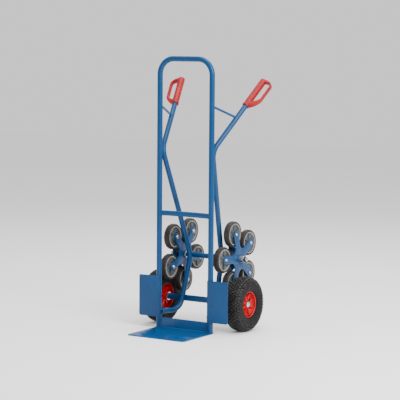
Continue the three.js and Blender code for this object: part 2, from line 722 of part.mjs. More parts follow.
function starSet(label, side) {
  const plateX = STAR_PLATE_SPACE / 2 + STAR_PLATE_T / 2;
  const plates = [["outer", 1], ["inner", -1]].map(([which, out]) => {
    const plate = mesh(`star_plate_${which}_${label}`, plateAcrossX(starShape(), STAR_PLATE_T), BLUE_PAINT);
    plate.position.x = side * out * plateX;
    return plate;
  });
  const hubIn = -starHalf - NUT_T + GAP;
  const hubOut = starHalf + STAR_HUB_OUT;
  const hubHalf = (hubOut - hubIn) / 2;
  const hub = shaft(`star_hub_${label}`, point(0, 0, 0), hubHalf, starHubR, AXLE_R + RUNNING_GAP, ZINC);
  hub.position.x = (side * (hubOut + hubIn)) / 2;
  const star = groupAt(point(side * starX, starY, starZ), ...plates, hub);
  star.rotation.x = THREE.MathUtils.degToRad(STAR_PHASES[label]);
  for (let k = 0; k < STAR_ARMS; k++) {
    const angle = (2 * Math.PI * k) / STAR_ARMS;
    const name = `star_wheel_${label}_${k + 1}`;
    const bolt = starBolt(`star_bolt_${label}_${k + 1}`, side);
    const tip = point(0, starR * Math.cos(angle), starR * Math.sin(angle));
    star.add(groupAt(tip, bolt, ...smallWheel(name)));
  }
  return star;
}

// ---- The whole truck ----

const group = new THREE.Group();
group.add(mainFrameHoop(), upperCrossBar(), toePlate(), ...axleParts());
for (const [label, side] of SIDES) {
  group.add(
    wheelGuard(`wheel_guard_${label}`, side),
    handleTube(`handle_tube_${label}`, side),
    handleStay(`handle_stay_${label}`, side),
    handleGrip(`handle_grip_${label}`, side),
    mainWheel(label, side),
    starSet(label, side),
  );
}
const box = new THREE.Box3().setFromObject(group, true);
group.position.y = -(box.min.y + box.max.y) / 2;

export default group;
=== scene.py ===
# A stair-climbing hand truck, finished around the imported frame. Metres, +Z up, +Y towards the wheels.
import math

import bmesh
import bpy
from mathutils import Matrix, Vector


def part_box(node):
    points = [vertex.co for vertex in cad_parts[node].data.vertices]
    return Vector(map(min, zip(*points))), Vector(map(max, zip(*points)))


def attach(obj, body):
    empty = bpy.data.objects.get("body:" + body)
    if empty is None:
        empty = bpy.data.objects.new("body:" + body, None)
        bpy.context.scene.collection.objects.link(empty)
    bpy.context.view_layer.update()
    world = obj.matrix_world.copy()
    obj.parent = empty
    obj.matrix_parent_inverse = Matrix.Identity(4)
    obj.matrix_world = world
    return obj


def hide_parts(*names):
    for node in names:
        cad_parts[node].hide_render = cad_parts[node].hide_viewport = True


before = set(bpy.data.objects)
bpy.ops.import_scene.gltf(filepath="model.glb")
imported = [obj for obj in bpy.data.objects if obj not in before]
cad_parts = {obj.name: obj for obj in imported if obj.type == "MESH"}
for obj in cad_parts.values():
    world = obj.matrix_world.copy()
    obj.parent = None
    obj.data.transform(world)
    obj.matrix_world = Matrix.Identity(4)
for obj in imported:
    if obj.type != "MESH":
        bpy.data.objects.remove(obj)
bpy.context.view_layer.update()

# ---- Sizes, in metres unless a name or comment says otherwise ----

GAP = 0.0003
NEAR = 0.0006  # the step between two turned surfaces that would otherwise coincide
FINE_EDGE = 0.0005
EDGE = 0.0006
DULL_EDGE = 0.0008
LIP_EDGE = 0.001
SOFT_EDGE = 0.0012
ROUND_EDGE = 0.0015

RAIL_R = 0.013
HOOP_BEND_R = 0.075
FOOT_CORNER_R = 0.018
FOOT_STEPS = 12
CROSS_BAR_R = 0.0125
CROSS_BAR_BOW = 0.013
CROSS_BAR_END_INSET = 0.004
CROSS_BAR_HALF_STEPS = 12
CROSS_BAR_WELD_REACH = 0.04
CROSS_BAR_WELD_BACK = 0.0015

PLATE_T = 0.005
PLATE_BEND_R = 0.006
PLATE_CORNER_R = 0.015
PLATE_REAR_CORNER_R = 0.002
SHEET_CORNER_R = 0.001
GUARD_CORNER_R = 0.009
SHEET_EDGE = 0.0007
SHEET_CORNER_STEPS = 8
FLANGE_BEND_STEPS = 12

HANDLE_R = 0.0125
HANDLE_LEAN_GAP = 0.0008
HANDLE_BEND_BELOW_TOP = 0.4405
HANDLE_BEND_R = 0.070
HANDLE_BEND_INSET = 0.0049
HANDLE_TOP_BELOW_TOP = 0.1127
HANDLE_TOP_OUT = 0.0894
HANDLE_TOP_BACK = 0.3264
HANDLE_KINK_INSET = 0.057
HANDLE_KINK_R = 0.120
HANDLE_AXLE_INSET = 0.048
HANDLE_FOOT_Z = 0.080
HANDLE_FOOT_R = 0.065
HANDLE_FOOT_INSET = 0.005
HANDLE_END_SINK = 0.7  # a share of the rail's radius
STAY_R = 0.0058
STAY_SIDES = 24
STAY_BELOW_TOP = 0.230
STAY_FROM_GRIP = 0.076

# Welds: how thick a bead is, how deep it ripples as a share of that, and where it runs
WELD_BEAD = 0.0016
WELD_STEPS = 72
WELD_RIPPLES = 24
WELD_SIDES = 10
RING_RIPPLE = 0.18
LINE_RIPPLE = 0.16
LINE_STEP = 0.0028
LINE_STEPS_PER_RIPPLE = 4
LINE_MIN_STEPS = 6
LINE_END_SHARE = 0.04
HANDLE_WELD_BEAD = 0.002
HANDLE_WELD_REACH = 0.05
BEND_WELD_SPREAD = 0.0062
BEND_WELD_SINK = 0.0006
BEND_WELD_BELOW = 0.028
BEND_WELD_ABOVE = 0.012
KINK_WELD_SPREAD = 0.0058
KINK_WELD_SINK = 0.0012
KINK_WELD_HALF = 0.0105
STAY_WELD_BEAD = 0.0011
FOOT_WELD_BEAD = 0.0024
FOOT_WELD_CLEAR = 0.0008
FOOT_WELD_FIRST = math.radians(-205)
FOOT_WELD_LAST = math.radians(25)
FOOT_WELD_STEPS = 60
FLANGE_WELD_BEAD = 0.0018
FLANGE_WELD_ASIDE = 0.0004
FLANGE_WELD_FRONT = 0.0006
FLANGE_WELD_BELOW_TOP = 0.003
STAR_WELD_BEAD = 0.0019
STAR_WELD_RIPPLE = 0.15

GRIP_LENGTH = 0.172
GRIP_R = 0.0165
GRIP_COLLAR_R = 0.018
GRIP_COLLAR_LENGTH = 0.009
GRIP_COLLAR_SLOPE = 0.002
GRIP_NOSE_R = 0.0095
GRIP_START = 0.0005
GRIP_EDGE = 0.0022
GRIP_EDGE_STEPS = 5
GRIP_END_WALL = 0.014
GRIP_SEGMENTS = 64
GRIP_CORNER_STEPS = 8
LOOP_REACH = 0.054
LOOP_T = 0.006
LOOP_W = 0.021
LOOP_TURN = math.radians(6)
LOOP_INSIDE = 0.004
LOOP_START = 0.001
LOOP_BELLY = 0.0235
LOOP_LOW = 0.056
LOOP_HIGH = 0.140
LOOP_CROWN = 0.170
LOOP_GAP_TOP = 0.155
LOOP_GAP_START = 0.0277
LOOP_GAP_CORNER = 0.014
LOOP_ROOT = 0.003
LOOP_STEPS = 12
LOOP_BELLY_STEPS = 14
LOOP_STRAIGHT_STEPS = 4
LOOP_GAP_TOP_STEPS = 8

AXLE_R = 0.010
WHEEL_TUBE_R = 0.015
WASHER_R = 0.0205
WASHER_T = 0.004
CAP_RIM_T = 0.0012
CAP_CROWN_SHARE = 0.72
CAP_SHOULDER_SHARE = 0.8
CAP_SHOULDER_R = 0.003
STAR_TUBE_R = 0.0125
HUB_R = 0.019
RIM_R = 0.0616
RIM_W = 0.0634
RIM_LIP_T = 0.004
RIM_LIP_SLOPE = 0.003
RIM_BARREL_R = 0.052
RIM_WALL = 0.005
RIM_WEB_T = 0.008
RIM_HUB_FILLET = 0.003
RIM_WEB_FILLET = 0.004
RIM_RIBS = 8
RIM_RIB_T = 0.005
RIM_RIB_HALF_W = 0.020
RIM_RIB_SINK = 0.006
BEARING_R = 0.018
BEARING_BORE_GAP = 0.0004
BEARING_REACH = 0.009
ROLLERS = 12
ROLLER_RING_R = 0.0132
ROLLER_W = 0.0022
ROLLER_PROUD = 0.0008

TYRE_WIDEST_R = 0.0903
TYRE_STEPS = 24
TYRE_CROWN_POWER = 2 / 3
TYRE_WALL_POWER = 0.75
TYRE_RIDGES = (0.0665, 0.0700, 0.0980)
RIDGE_HEIGHT = 0.0007
RIDGE_W = 0.0008
TREAD_HEIGHT = 0.0036
TREAD_ROOT = 0.002
TREAD_EDGE = 0.0007
TREAD_PITCHES = 48
# Rows of blocks on each half: distance from the crown along the carcass, width, length, height, skew
TREAD_ROWS = (
    (0.0058, 0.0092, 0.0120, TREAD_HEIGHT, 0.35),
    (0.0172, 0.0092, 0.0120, TREAD_HEIGHT, -0.35),
    (0.0286, 0.0092, 0.0118, TREAD_HEIGHT, 0.35),
    (0.0405, 0.0110, 0.0100, 0.0032, -0.25),
    (0.0535, 0.0110, 0.0060, 0.0016, 0.0),
)
VALVE_ANGLE = math.radians(-33)
VALVE_TILT = math.radians(12)
VALVE_FROM_AXLE = 0.029
VALVE_SEGMENTS = 24
# The stem's outline: radius, distance from the rim's middle, rounding
VALVE_STEM = (
    (0, 0.002, 0), (0.0055, 0.002, 0.001), (0.005, 0.007, 0.0015), (0.0032, 0.011, 0.001),
    (0.0030, 0.020, 0.0004), (0.0040, 0.0205, 0.0006), (0.0040, 0.028, 0.0015), (0, 0.028, 0),
)

STAR_ARMS = 5
STAR_PLATE_T = 0.004
STAR_ARM_HALF_W = 0.020
STAR_NOTCH_BOTTOM_R = 0.055
STAR_HUB_R = 0.0165
STAR_TIP_STEPS = 20
STAR_NOTCH_STEPS = 12
BOLT_R = 0.006
BOLT_SLIP = 0.0001
BOLT_HOLE_SIDES = 24
BOLT_SEGMENTS = 36
BOLT_END_CLEAR = 0.0002
BOLT_HEAD_R = 0.0078
BOLT_HEAD_T = 0.0055
BOLT_HEAD_EDGE = 0.0004
BOLT_RIM_T = 0.0012
BOLT_CROWN_SHARE = 0.62
BOLT_CROWN_R = 0.004
BOLT_WASHER_T = 0.0014
BOLT_WASHER_EDGE = 0.0003
NUT_R = 0.0098
NUT_T = 0.008
NUT_SIDES = 6
NUT_INSET = 0.0008
NUT_LOW_CHAMFER = 0.0014
NUT_HIGH_CHAMFER = 0.0008
NUT_LOW_SHARE = 0.86
NUT_HIGH_SHARE = 0.9
SMALL_WHEEL_R = 0.0625
SMALL_BORE_R = 0.052
SMALL_BOSS_R = 0.018
SMALL_RING_R = 0.0465
SMALL_WEB_HALF_T = 0.005
SMALL_WEB_FILLET = 0.0025
SMALL_RIM_HALF_W = 0.014
SMALL_RIBS = 6
SMALL_RIB_T = 0.0025
SMALL_RIB_HALF_W = 0.0105
SMALL_RIB_SINK = 0.002
SMALL_TYRE_SHOULDER = 0.004
SMALL_TYRE_SHOULDER_R = 0.003
SMALL_TYRE_RECESS = 0.002
SMALL_TYRE_STEP = 0.001
SMALL_TYRE_CROWN = 0.0004
SMALL_TYRE_CROWN_INSET = 0.007
SMALL_TYRE_CROWN_R = 0.005

TUBE_SIDES = 40
WHEEL_SEGMENTS = 128
SMALL_SEGMENTS = 72
SHAFT_SEGMENTS = 48
BEND_STEPS = 14
CORNER_STEPS = 4
FINE_STEPS = 3
DOME_STEPS = 5
BEVEL_SEGMENTS = 2
BEVEL_PROFILE = 0.6
STRAIGHT_ANGLE = 1e-3
ON_AXIS = 1e-9
MITRE_LIMIT = 0.4

# Looks: noise scales and details, the noise range that shows, and bump depths
MOTTLE = (0.35, 0.65)
BAND = (0.3, 0.7)
WEAR_SCALE = 140.0
WEAR_RANGE = (0.42, 0.62)
COAT_WORN = (0.53, 0.6)
COAT_WORN_COLOUR = "2F6594"
COAT_SHARE = 0.2
COAT_SPREAD = 0.1
PEEL = (420.0, 2.0)
PEEL_DEPTH = 0.00003
COAT_GRAIN = (1500.0, 2.0)
COAT_GRAIN_DEPTH = 0.00001
MOULD_GRAIN = (1900.0, 2.0)
MOULD_GRAIN_DEPTH = 0.00004
FINE_GRAIN_DEPTH = 0.00003
MOULD_SINK_DEPTH = 0.0001
DUST_RANGE = (0.45, 0.75, 0.0, 0.6)
RUBBER_WORN = (0.52, 0.6)
RUBBER_WORN_SHARE = 0.5
RUBBER_GRAIN_DEPTH = 0.00012
RUBBER_WAVE_DEPTH = 0.0002
PLATING_RANGE = (0.35, 0.7)
TURNING_STRETCH = (40.0, 1.0, 1.0)
TURNING_DEPTH = 0.00006

# Angles in degrees above which an edge is shaded sharp
SHARP = 40
TYRE_SHARP = 30
BOLT_SHARP = 28
SMALL_TYRE_SHARP = 50

SIDES = (("left", -1), ("right", 1))
UP = Vector((0, 0, 1))
TURN = 2 * math.pi


# ---- Camera and light ----

CAMERA_AZIMUTH = math.radians(32.39)
CAMERA_ELEVATION = math.radians(5.64)
CAMERA_ROLL = math.radians(0.44)
CAMERA_DISTANCE = 7.577
CAMERA_LENS = 145.6
CAMERA_TARGET = Vector((0.0830, -0.0733, 0.6294))
CAMERA_SENSOR_MM = 36
CAMERA_CLIP_END = 60
SKY_STRENGTH = 1.0
FLOOR_HALF = 12
FLOOR_CELLS = 8
# Name, azimuth and elevation in degrees, distance, size, power in watts
LIGHTS = (
    ("key", 70, 32, 4.0, 2.2, 220),
    ("top", 120, 84, 4.0, 3.0, 170),
    ("back", 205, 40, 4.0, 2.5, 40),
)


# ---- Places, from the frame ----

def centre(node):
    low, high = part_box(node)
    return (low + high) / 2


hoop_low, hoop_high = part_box("main_frame_hoop")
top_z = hoop_high.z
rail_x = hoop_high.x - RAIL_R
rail_y = centre("main_frame_hoop").y
axle = centre("wheel_axle")
star_axle = centre("star_axle")
plate_low, plate_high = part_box("toe_plate")
tyre_low, tyre_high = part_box("main_tyre_right")
tyre_r = (tyre_high.z - tyre_low.z) / 2
tyre_half = (tyre_high.x - tyre_low.x) / 2
wheel_x = centre("main_tyre_right").x
star_x = (centre("star_plate_outer_right").x + centre("star_plate_inner_right").x) / 2
star_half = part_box("star_plate_outer_right")[1].x - star_x
tube_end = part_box("wheel_cross_tube")[1].x


def handle_corners(side):
    """Corners of a handle tube's centre line, from its top end down to the rail's foot."""
    top = Vector((rail_x + HANDLE_TOP_OUT, rail_y + HANDLE_TOP_BACK, top_z - HANDLE_TOP_BELOW_TOP))
    lean = RAIL_R + HANDLE_R + HANDLE_LEAN_GAP
    bend = Vector((rail_x - HANDLE_BEND_INSET, rail_y + lean, top_z - HANDLE_BEND_BELOW_TOP))
    kink_y = star_axle.y - STAR_TUBE_R - HANDLE_R - GAP
    kink = Vector((rail_x - HANDLE_KINK_INSET, kink_y, star_axle.z))
    pass_y = axle.y - WHEEL_TUBE_R - HANDLE_R - GAP
    passing = Vector((rail_x - HANDLE_AXLE_INSET, pass_y, axle.z))
    down = passing - kink
    low = kink + down * ((HANDLE_FOOT_Z - kink.z) / down.z)
    foot = Vector((rail_x - HANDLE_FOOT_INSET, rail_y, HANDLE_FOOT_Z))
    turn = (bend - top).angle(kink - bend)
    bend.y -= HANDLE_BEND_R * (1 / math.cos(turn / 2) - 1)
    return [Vector((side * p.x, p.y, p.z)) for p in (top, bend, kink, low, foot)]


# ---- Shape helpers ----

moved_to = Matrix.Translation
put_in_scene = bpy.context.scene.collection.objects.link


def corner_arc(before, corner, after, radius, steps):
    """The points of the arc that rounds one corner."""
    a = (before - corner).normalized()
    b = (after - corner).normalized()
    angle = a.angle(b)
    if radius <= 0 or math.pi - angle < STRAIGHT_ANGLE:
        return [corner.copy()]
    middle = corner + (a + b).normalized() * (radius / math.sin(angle / 2))
    reach = radius / math.tan(angle / 2)
    start = corner + a * reach - middle
    end = corner + b * reach - middle
    sweep = math.pi - angle
    arc = []
    for k in range(steps + 1):
        share = k / steps
        mixed = start * math.sin((1 - share) * sweep) + end * math.sin(share * sweep)
        arc.append(middle + mixed / math.sin(sweep))
    return arc


def rounded_path(corners, radii, steps=BEND_STEPS):
    """Straight runs with an arc at each inner corner."""
    points = [corners[0].copy()]
    for k, radius in enumerate(radii, start=1):
        points += corner_arc(corners[k - 1], corners[k], corners[k + 1], radius, steps)
    return points + [corners[-1].copy()]


def rounded_loop(corners, radius, steps=CORNER_STEPS):
    """A closed 2-D outline. A corner is (x, y) or (x, y, its own radius)."""
    flat = [Vector(c[:2]) for c in corners]
    points = []
    for k, corner in enumerate(corners):
        own = corner[2] if len(corner) > 2 else radius
        points += corner_arc(flat[k - 1], flat[k], flat[(k + 1) % len(flat)], own, steps)
    return points


def arc(radius, first, last, middle, steps):
    angles = [first + (last - first) * k / steps for k in range(steps + 1)]
    return [Vector((middle[0] + radius * math.cos(a), middle[1] + radius * math.sin(a))) for a in angles]


def circle(radius, sides, middle=(0, 0)):
    return arc(radius, 0.0, TURN, middle, sides)[:-1]


def curve(start, control, end, steps=10):
    """A quadratic curve, without its first point."""
    start, control, end = Vector(start), Vector(control), Vector(end)
    points = []
    for k in range(1, steps + 1):
        t = k / steps
        points.append(start * (1 - t) ** 2 + control * (2 * t * (1 - t)) + end * t ** 2)
    return points


def both_sides(half, middle=()):
    """An outline of (radius, x, rounding) that is the same on both sides of x = 0, from its positive half."""
    return [(radius, -x, rounding) for radius, x, rounding in half] + list(middle) + half[::-1]


def bridge(bm, rings, closed=False):
    """Quads between successive rings of the same length."""
    pairs = list(zip(rings, rings[1:]))
    if closed:
        pairs.append((rings[-1], rings[0]))
    for a, b in pairs:
        for k in range(len(a)):
            j = (k + 1) % len(a)
            bm.faces.new((a[k], a[j], b[j], b[k]))


def sweep(bm, points, section, across=None, closed=False):
    """Sweeps a 2-D section along points. Its x follows across where that is given, and otherwise it is
    carried along without twist. A section may be a function of the point's number."""
    count = len(points)
    rings = []
    carried = None
    for k, p in enumerate(points):
        ahead = points[(k + 1) % count] if closed or k + 1 < count else p
        behind = points[k - 1] if closed or k > 0 else p
        tangent = (ahead - behind).normalized()
        if across is not None:
            carried = across
        elif carried is None:
            carried = tangent.orthogonal().normalized()
        else:
            carried = (carried - tangent * carried.dot(tangent)).normalized()
        other = tangent.cross(carried)
        outline = section(k) if callable(section) else section
        rings.append([bm.verts.new(p + carried * q.x + other * q.y) for q in outline])
    bridge(bm, rings, closed)
    if not closed:
        bm.faces.new(list(reversed(rings[0])))
        bm.faces.new(rings[-1])


def tube(bm, points, radius, sides=TUBE_SIDES):
    sweep(bm, points, circle(radius, sides))


def turned(bm, profile, segments, matrix):
    """A closed profile of (radius, x) turned about the matrix's X axis."""
    rings = []
    for k in range(segments):
        angle = TURN * k / segments
        c, s = math.cos(angle), math.sin(angle)
        rings.append([matrix @ Vector((x, r * c, r * s)) for r, x in profile])
    count = len(profile)
    poles = {j: bm.verts.new(rings[0][j]) for j in range(count) if profile[j][0] < ON_AXIS}
    verts = [[poles.get(j) or bm.verts.new(ring[j]) for j in range(count)] for ring in rings]
    for k in range(segments):
        a, b = verts[k], verts[(k + 1) % segments]
        for j in range(count):
            i = (j + 1) % count
            if j in poles and i in poles:
                continue
            corners = [a[j], a[i], b[i], b[j]]
            bm.faces.new([v for n, v in enumerate(corners) if v not in corners[:n]])


def offset(outline, distance):
    """The outline moved to its left by a small distance."""
    count = len(outline)
    moved = []
    for k, p in enumerate(outline):
        a = (p - outline[k - 1]).normalized()
        b = (outline[(k + 1) % count] - p).normalized()
        left = Vector((-a.y - b.y, a.x + b.x)).normalized()
        square = Vector((-a.y, a.x))
        moved.append(p + left * (distance / max(MITRE_LIMIT, left.dot(square))))
    return moved


def plate(bm, outline, holes, thickness, edge, matrix, steps=FINE_STEPS):
    """A sheet with rounded edges, centred on the matrix's XY plane. Its outline runs anticlockwise
    and its holes clockwise."""
    half = thickness / 2
    levels = []
    for k in range(steps + 1):
        angle = math.pi / 2 * k / steps
        levels.append((edge * (1 - math.sin(angle)), -half + edge * (1 - math.cos(angle))))
    levels += [(inset, -z) for inset, z in reversed(levels)]
    caps = ([], [])
    for loop in (outline, *holes):
        rings = []
        for inset, z in levels:
            moved = offset(loop, inset)
            rings.append([bm.verts.new(matrix @ Vector((p.x, p.y, z))) for p in moved])
        bridge(bm, rings)
        for cap, ring in zip(caps, (rings[0], rings[-1])):
            cap += [bm.edges.get((ring[k - 1], ring[k])) for k in range(len(ring))]
    for cap in caps:
        bmesh.ops.triangle_fill(bm, use_beauty=True, use_dissolve=False, edges=cap)


def block(bm, matrix, size, edge):
    """A bar with rounded edges."""
    made = bmesh.ops.create_cube(bm, size=1.0)
    for v in made["verts"]:
        v.co = matrix @ Vector((v.co.x * size[0], v.co.y * size[1], v.co.z * size[2]))
    edges = {e for v in made["verts"] for e in v.link_edges}
    bmesh.ops.bevel(bm, geom=list(edges), offset=edge, segments=BEVEL_SEGMENTS, affect="EDGES",
                    profile=BEVEL_PROFILE)


def lug(bm, matrix, length, width, height, root, edge, skew):
    """A tread block that stands on the matrix's XY plane."""
    def ring(inset, z):
        corners = []
        for sx, sy in ((-1, -1), (1, -1), (1, 1), (-1, 1)):
            x = sx * (length / 2 - inset)
            y = sy * (width / 2 - inset)
            corners.append(bm.verts.new(matrix @ Vector((x + skew * y, y, z))))
        return corners
    rings = [ring(-edge, -root), ring(0, height - edge), ring(edge, height)]
    bridge(bm, rings)
    bm.faces.new(rings[-1])
    bm.faces.new(list(reversed(rings[0])))


def piece(name, bm, material, body, stands_for=(), sharp=SHARP):
    """Finishes a mesh as one piece that rides on a body."""
    bmesh.ops.recalc_face_normals(bm, faces=bm.faces)
    mesh = bpy.data.meshes.new(name)
    bm.to_mesh(mesh)
    bm.free()
    mesh.polygons.foreach_set("use_smooth", [True] * len(mesh.polygons))
    mesh.set_sharp_from_angle(angle=math.radians(sharp))
    mesh.materials.append(material)
    obj = bpy.data.objects.new(name, mesh)
    put_in_scene(obj)
    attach(obj, body)
    if stands_for:
        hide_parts(*stands_for)
    return obj


def painted(name, bm, *stands_for):
    """A blue piece of the welded frame."""
    piece(name, bm, BLUE, "frame", stands_for)


def along_x(position, side):
    """Places what is drawn with X outboard."""
    turn = Matrix.Rotation(math.pi, 4, "Z") if side < 0 else Matrix.Identity(4)
    return moved_to(position) @ turn


def across_x(position):
    """Places a plate drawn in Y and Z, with its thickness along X."""
    basis = Matrix(((0, 0, 1), (1, 0, 0), (0, 1, 0))).to_4x4()
    return moved_to(position) @ basis


# ---- Materials ----

def linear(code):
    """A colour written as in a paint chart, as linear light."""
    channels = [int(code[k:k + 2], 16) / 255 for k in (0, 2, 4)]
    return [c / 12.92 if c <= 0.04045 else ((c + 0.055) / 1.055) ** 2.4 for c in channels]


class Surface:
    """A node material whose colour, roughness and bump vary over the surface."""

    def __init__(self, name, metallic=0.0, specular=0.4):
        self.material = bpy.data.materials.new(name)
        self.material.use_nodes = True
        self.tree = self.material.node_tree
        self.shader = self.tree.nodes["Principled BSDF"]
        self.shader.inputs["Metallic"].default_value = metallic
        self.shader.inputs["Specular IOR Level"].default_value = specular
        self.place = self.tree.nodes.new("ShaderNodeTexCoord").outputs["Object"]

    def node(self, kind, **inputs):
        made = self.tree.nodes.new(kind)
        for key, value in inputs.items():
            socket = made.inputs[key.replace("_", " ")]
            if isinstance(value, bpy.types.NodeSocket):
                self.tree.links.new(value, socket)
            else:
                socket.default_value = value
        return made

    def stretched(self, scale):
        return self.node("ShaderNodeMapping", Vector=self.place, Scale=scale).outputs["Vector"]

    def noise(self, scale, detail=3.0, vector=None):
        made = self.node("ShaderNodeTexNoise", Vector=vector or self.place, Scale=scale, Detail=detail)
        return made.outputs["Fac"]

    def between(self, value, low, high, low_out=0.0, high_out=1.0):
        made = self.node("ShaderNodeMapRange", Value=value)
        made.interpolation_type = "SMOOTHSTEP"
        limits = {"From Min": low, "From Max": high, "To Min": low_out, "To Max": high_out}
        for socket, number in limits.items():
            made.inputs[socket].default_value = number
        return made.outputs["Result"]

    def mix(self, share, a, b):
        made = self.tree.nodes.new("ShaderNodeMix")
        made.data_type = "RGBA"
        for socket, value in zip((made.inputs[0], made.inputs[6], made.inputs[7]), (share, a, b)):
            if isinstance(value, bpy.types.NodeSocket):
                self.tree.links.new(value, socket)
            elif isinstance(value, float):
                socket.default_value = value
            else:
                socket.default_value = (*value, 1.0)
        return made.outputs[2]

    def times(self, a, b):
        made = self.tree.nodes.new("ShaderNodeMath")
        made.operation = "MULTIPLY"
        for socket, value in zip(made.inputs, (a, b)):
            if isinstance(value, bpy.types.NodeSocket):
                self.tree.links.new(value, socket)
            else:
                socket.default_value = value
        return made.outputs["Value"]

    def edges(self, low, high):
        """1 on worn convex edges, broken up by noise."""
        point = self.tree.nodes.new("ShaderNodeNewGeometry").outputs["Pointiness"]
        return self.times(self.between(point, low, high), self.between(self.noise(WEAR_SCALE), *WEAR_RANGE))

    def colour(self, socket):
        self.tree.links.new(socket, self.shader.inputs["Base Color"])

    def roughness(self, socket):
        self.tree.links.new(socket, self.shader.inputs["Roughness"])

    def bump(self, *layers):
        """Each layer is (height socket, depth in metres)."""
        normal = None
        for height, depth in layers:
            made = self.node("ShaderNodeBump", Height=height, Strength=1.0, Distance=depth)
            if normal is not None:
                self.tree.links.new(normal, made.inputs["Normal"])
            normal = made.outputs["Normal"]
        self.tree.links.new(normal, self.shader.inputs["Normal"])


def powder_coat(name, code, dark, light, rough=0.3):
    """Semi-gloss powder coat with orange peel, slight mottling and rubbed edges."""
    s = Surface(name, specular=0.25)
    base = s.mix(s.between(s.noise(9.0), *MOTTLE), linear(dark), linear(code))
    base = s.mix(s.times(s.noise(60.0, 5.0), COAT_SHARE), base, linear(light))
    s.colour(s.mix(s.times(s.edges(*COAT_WORN), COAT_SHARE), base, linear(COAT_WORN_COLOUR)))
    s.roughness(s.between(s.noise(35.0, 4.0), *BAND, rough, rough + COAT_SPREAD))
    s.bump((s.noise(*PEEL), PEEL_DEPTH), (s.noise(*COAT_GRAIN), COAT_GRAIN_DEPTH))
    return s.material


def moulded_plastic(name, code, dark, rough, depth=MOULD_GRAIN_DEPTH):
    """Moulded plastic with a fine grain and shallow sinks."""
    s = Surface(name, specular=0.25)
    s.colour(s.mix(s.between(s.noise(22.0), *MOTTLE), linear(dark), linear(code)))
    s.roughness(s.between(s.noise(60.0, 4.0), *BAND, rough - 0.06, rough + 0.08))
    s.bump((s.noise(*MOULD_GRAIN), depth), (s.noise(70.0, 2.0), MOULD_SINK_DEPTH))
    return s.material


def rubber(name, code, dust_and_highlight, rough):
    """Matt rubber with fine grain and a little dust in its texture. On the main tyres' tread blocks the
    lighter colour is dust and also a painted highlight on the block tops and edges.
    """
    s = Surface(name, specular=0.2)
    dust = s.between(s.noise(45.0, 6.0), *DUST_RANGE)
    base = s.mix(dust, linear(code), linear(dust_and_highlight))
    s.colour(s.mix(s.times(s.edges(*RUBBER_WORN), RUBBER_WORN_SHARE), base, linear(dust_and_highlight)))
    s.roughness(s.between(s.noise(80.0, 4.0), *BAND, rough - 0.1, rough + 0.08))
    s.bump((s.noise(900.0, 4.0), RUBBER_GRAIN_DEPTH), (s.noise(160.0), RUBBER_WAVE_DEPTH))
    return s.material


def plated_steel(name, code, dark, rough):
    """Zinc-plated steel with turning marks and cloudy plating."""
    s = Surface(name, metallic=1.0)
    s.colour(s.mix(s.between(s.noise(120.0, 4.0), *PLATING_RANGE), linear(dark), linear(code)))
    s.roughness(s.between(s.noise(90.0, 5.0), *BAND, rough - 0.08, rough + 0.12))
    s.bump((s.noise(60.0, 4.0, s.stretched(TURNING_STRETCH)), TURNING_DEPTH))
    return s.material


BLUE = powder_coat("blue_powder_coat", "003A67", "003661", "004272")
# The blade gets a lighter copy of the frame's blue: painted light for its upward face, which catches more
# light than the tubes and guards.
LIT_BLADE_BLUE = powder_coat("blue_powder_coat_blade_painted_light", "004274", "003E6E", "004A7E", 0.17)
RED = moulded_plastic("red_plastic", "98000C", "86000A", 0.4)
RIM_RED = moulded_plastic("red_rim_plastic", "C60A1C", "B40818", 0.38)
BLACK = rubber("black_tyre_rubber", "0E0E0E", "1C1B1B", 0.7)
# The tread blocks are a lighter copy of the tyre rubber: dust, and a painted highlight on the block tops
# against the darker grooves.
TREAD_DUST_AND_HIGHLIGHT = rubber("black_tread_rubber_dust_and_painted_highlight", "131212", "3E3C3B", 0.55)
GREY_TREAD = rubber("grey_wheel_rubber", "262221", "3A3533", 0.55)
GREY_HUB = moulded_plastic("grey_wheel_centre", "8C8882", "777470", 0.42, FINE_GRAIN_DEPTH)
# The web is a darker copy of the wheels' grey plastic: painted shade in the recess.
SHADED_GREY_WEB = moulded_plastic("grey_wheel_web_painted_shade", "5A5F61", "484C4E", 0.38, FINE_GRAIN_DEPTH)
ZINC = plated_steel("zinc_plate", "C6C8CB", "9FA2A6", 0.3)
DARK_STEEL = plated_steel("dark_bearing_steel", "3A3A3C", "262628", 0.4)


# ---- Frame tubes ----

def rippled(bead, ripple):
    """The round section of a bead that closes on itself, for each of its points."""
    def section(k):
        return circle(bead * (1 + ripple * math.sin(TURN * WELD_RIPPLES * k / WELD_STEPS)), WELD_SIDES)
    return section


def weld_ring(bm, start, direction, radius, axis_point, axis, axis_r, bead=WELD_BEAD):
    """A rippled bead where a round tube meets another: the real curve of their crossing."""
    u = direction.orthogonal().normalized()
    v = direction.cross(u)
    d = direction - axis * direction.dot(axis)
    points = []
    for k in range(WELD_STEPS):
        angle = TURN * k / WELD_STEPS
        base = start + (u * math.cos(angle) + v * math.sin(angle)) * radius
        q = base - axis_point
        q -= axis * q.dot(axis)
        a, b, c = d.dot(d), q.dot(d), q.dot(q) - axis_r ** 2
        t = (-b - math.sqrt(max(0.0, b * b - a * c))) / a
        points.append(base + direction * t)
    sweep(bm, points, rippled(bead, RING_RIPPLE), closed=True)


def weld_path(bm, points, bead):
    """A rippled bead with rounded ends along a line of points."""
    last = len(points) - 1
    length = sum((b - a).length for a, b in zip(points, points[1:]))

    def section(k):
        share = min(k, last - k) / last * length / bead
        taper = math.sqrt(max(LINE_END_SHARE, 1 - (1 - min(1.0, share)) ** 2))
        return circle(bead * taper * (1 + LINE_RIPPLE * math.sin(k * math.pi / 2)), WELD_SIDES)
    sweep(bm, points, section)


def weld_line(bm, start, end, bead):
    count = max(LINE_MIN_STEPS, int((end - start).length / LINE_STEP) * LINE_STEPS_PER_RIPPLE)
    weld_path(bm, [start.lerp(end, k / count) for k in range(count + 1)], bead)


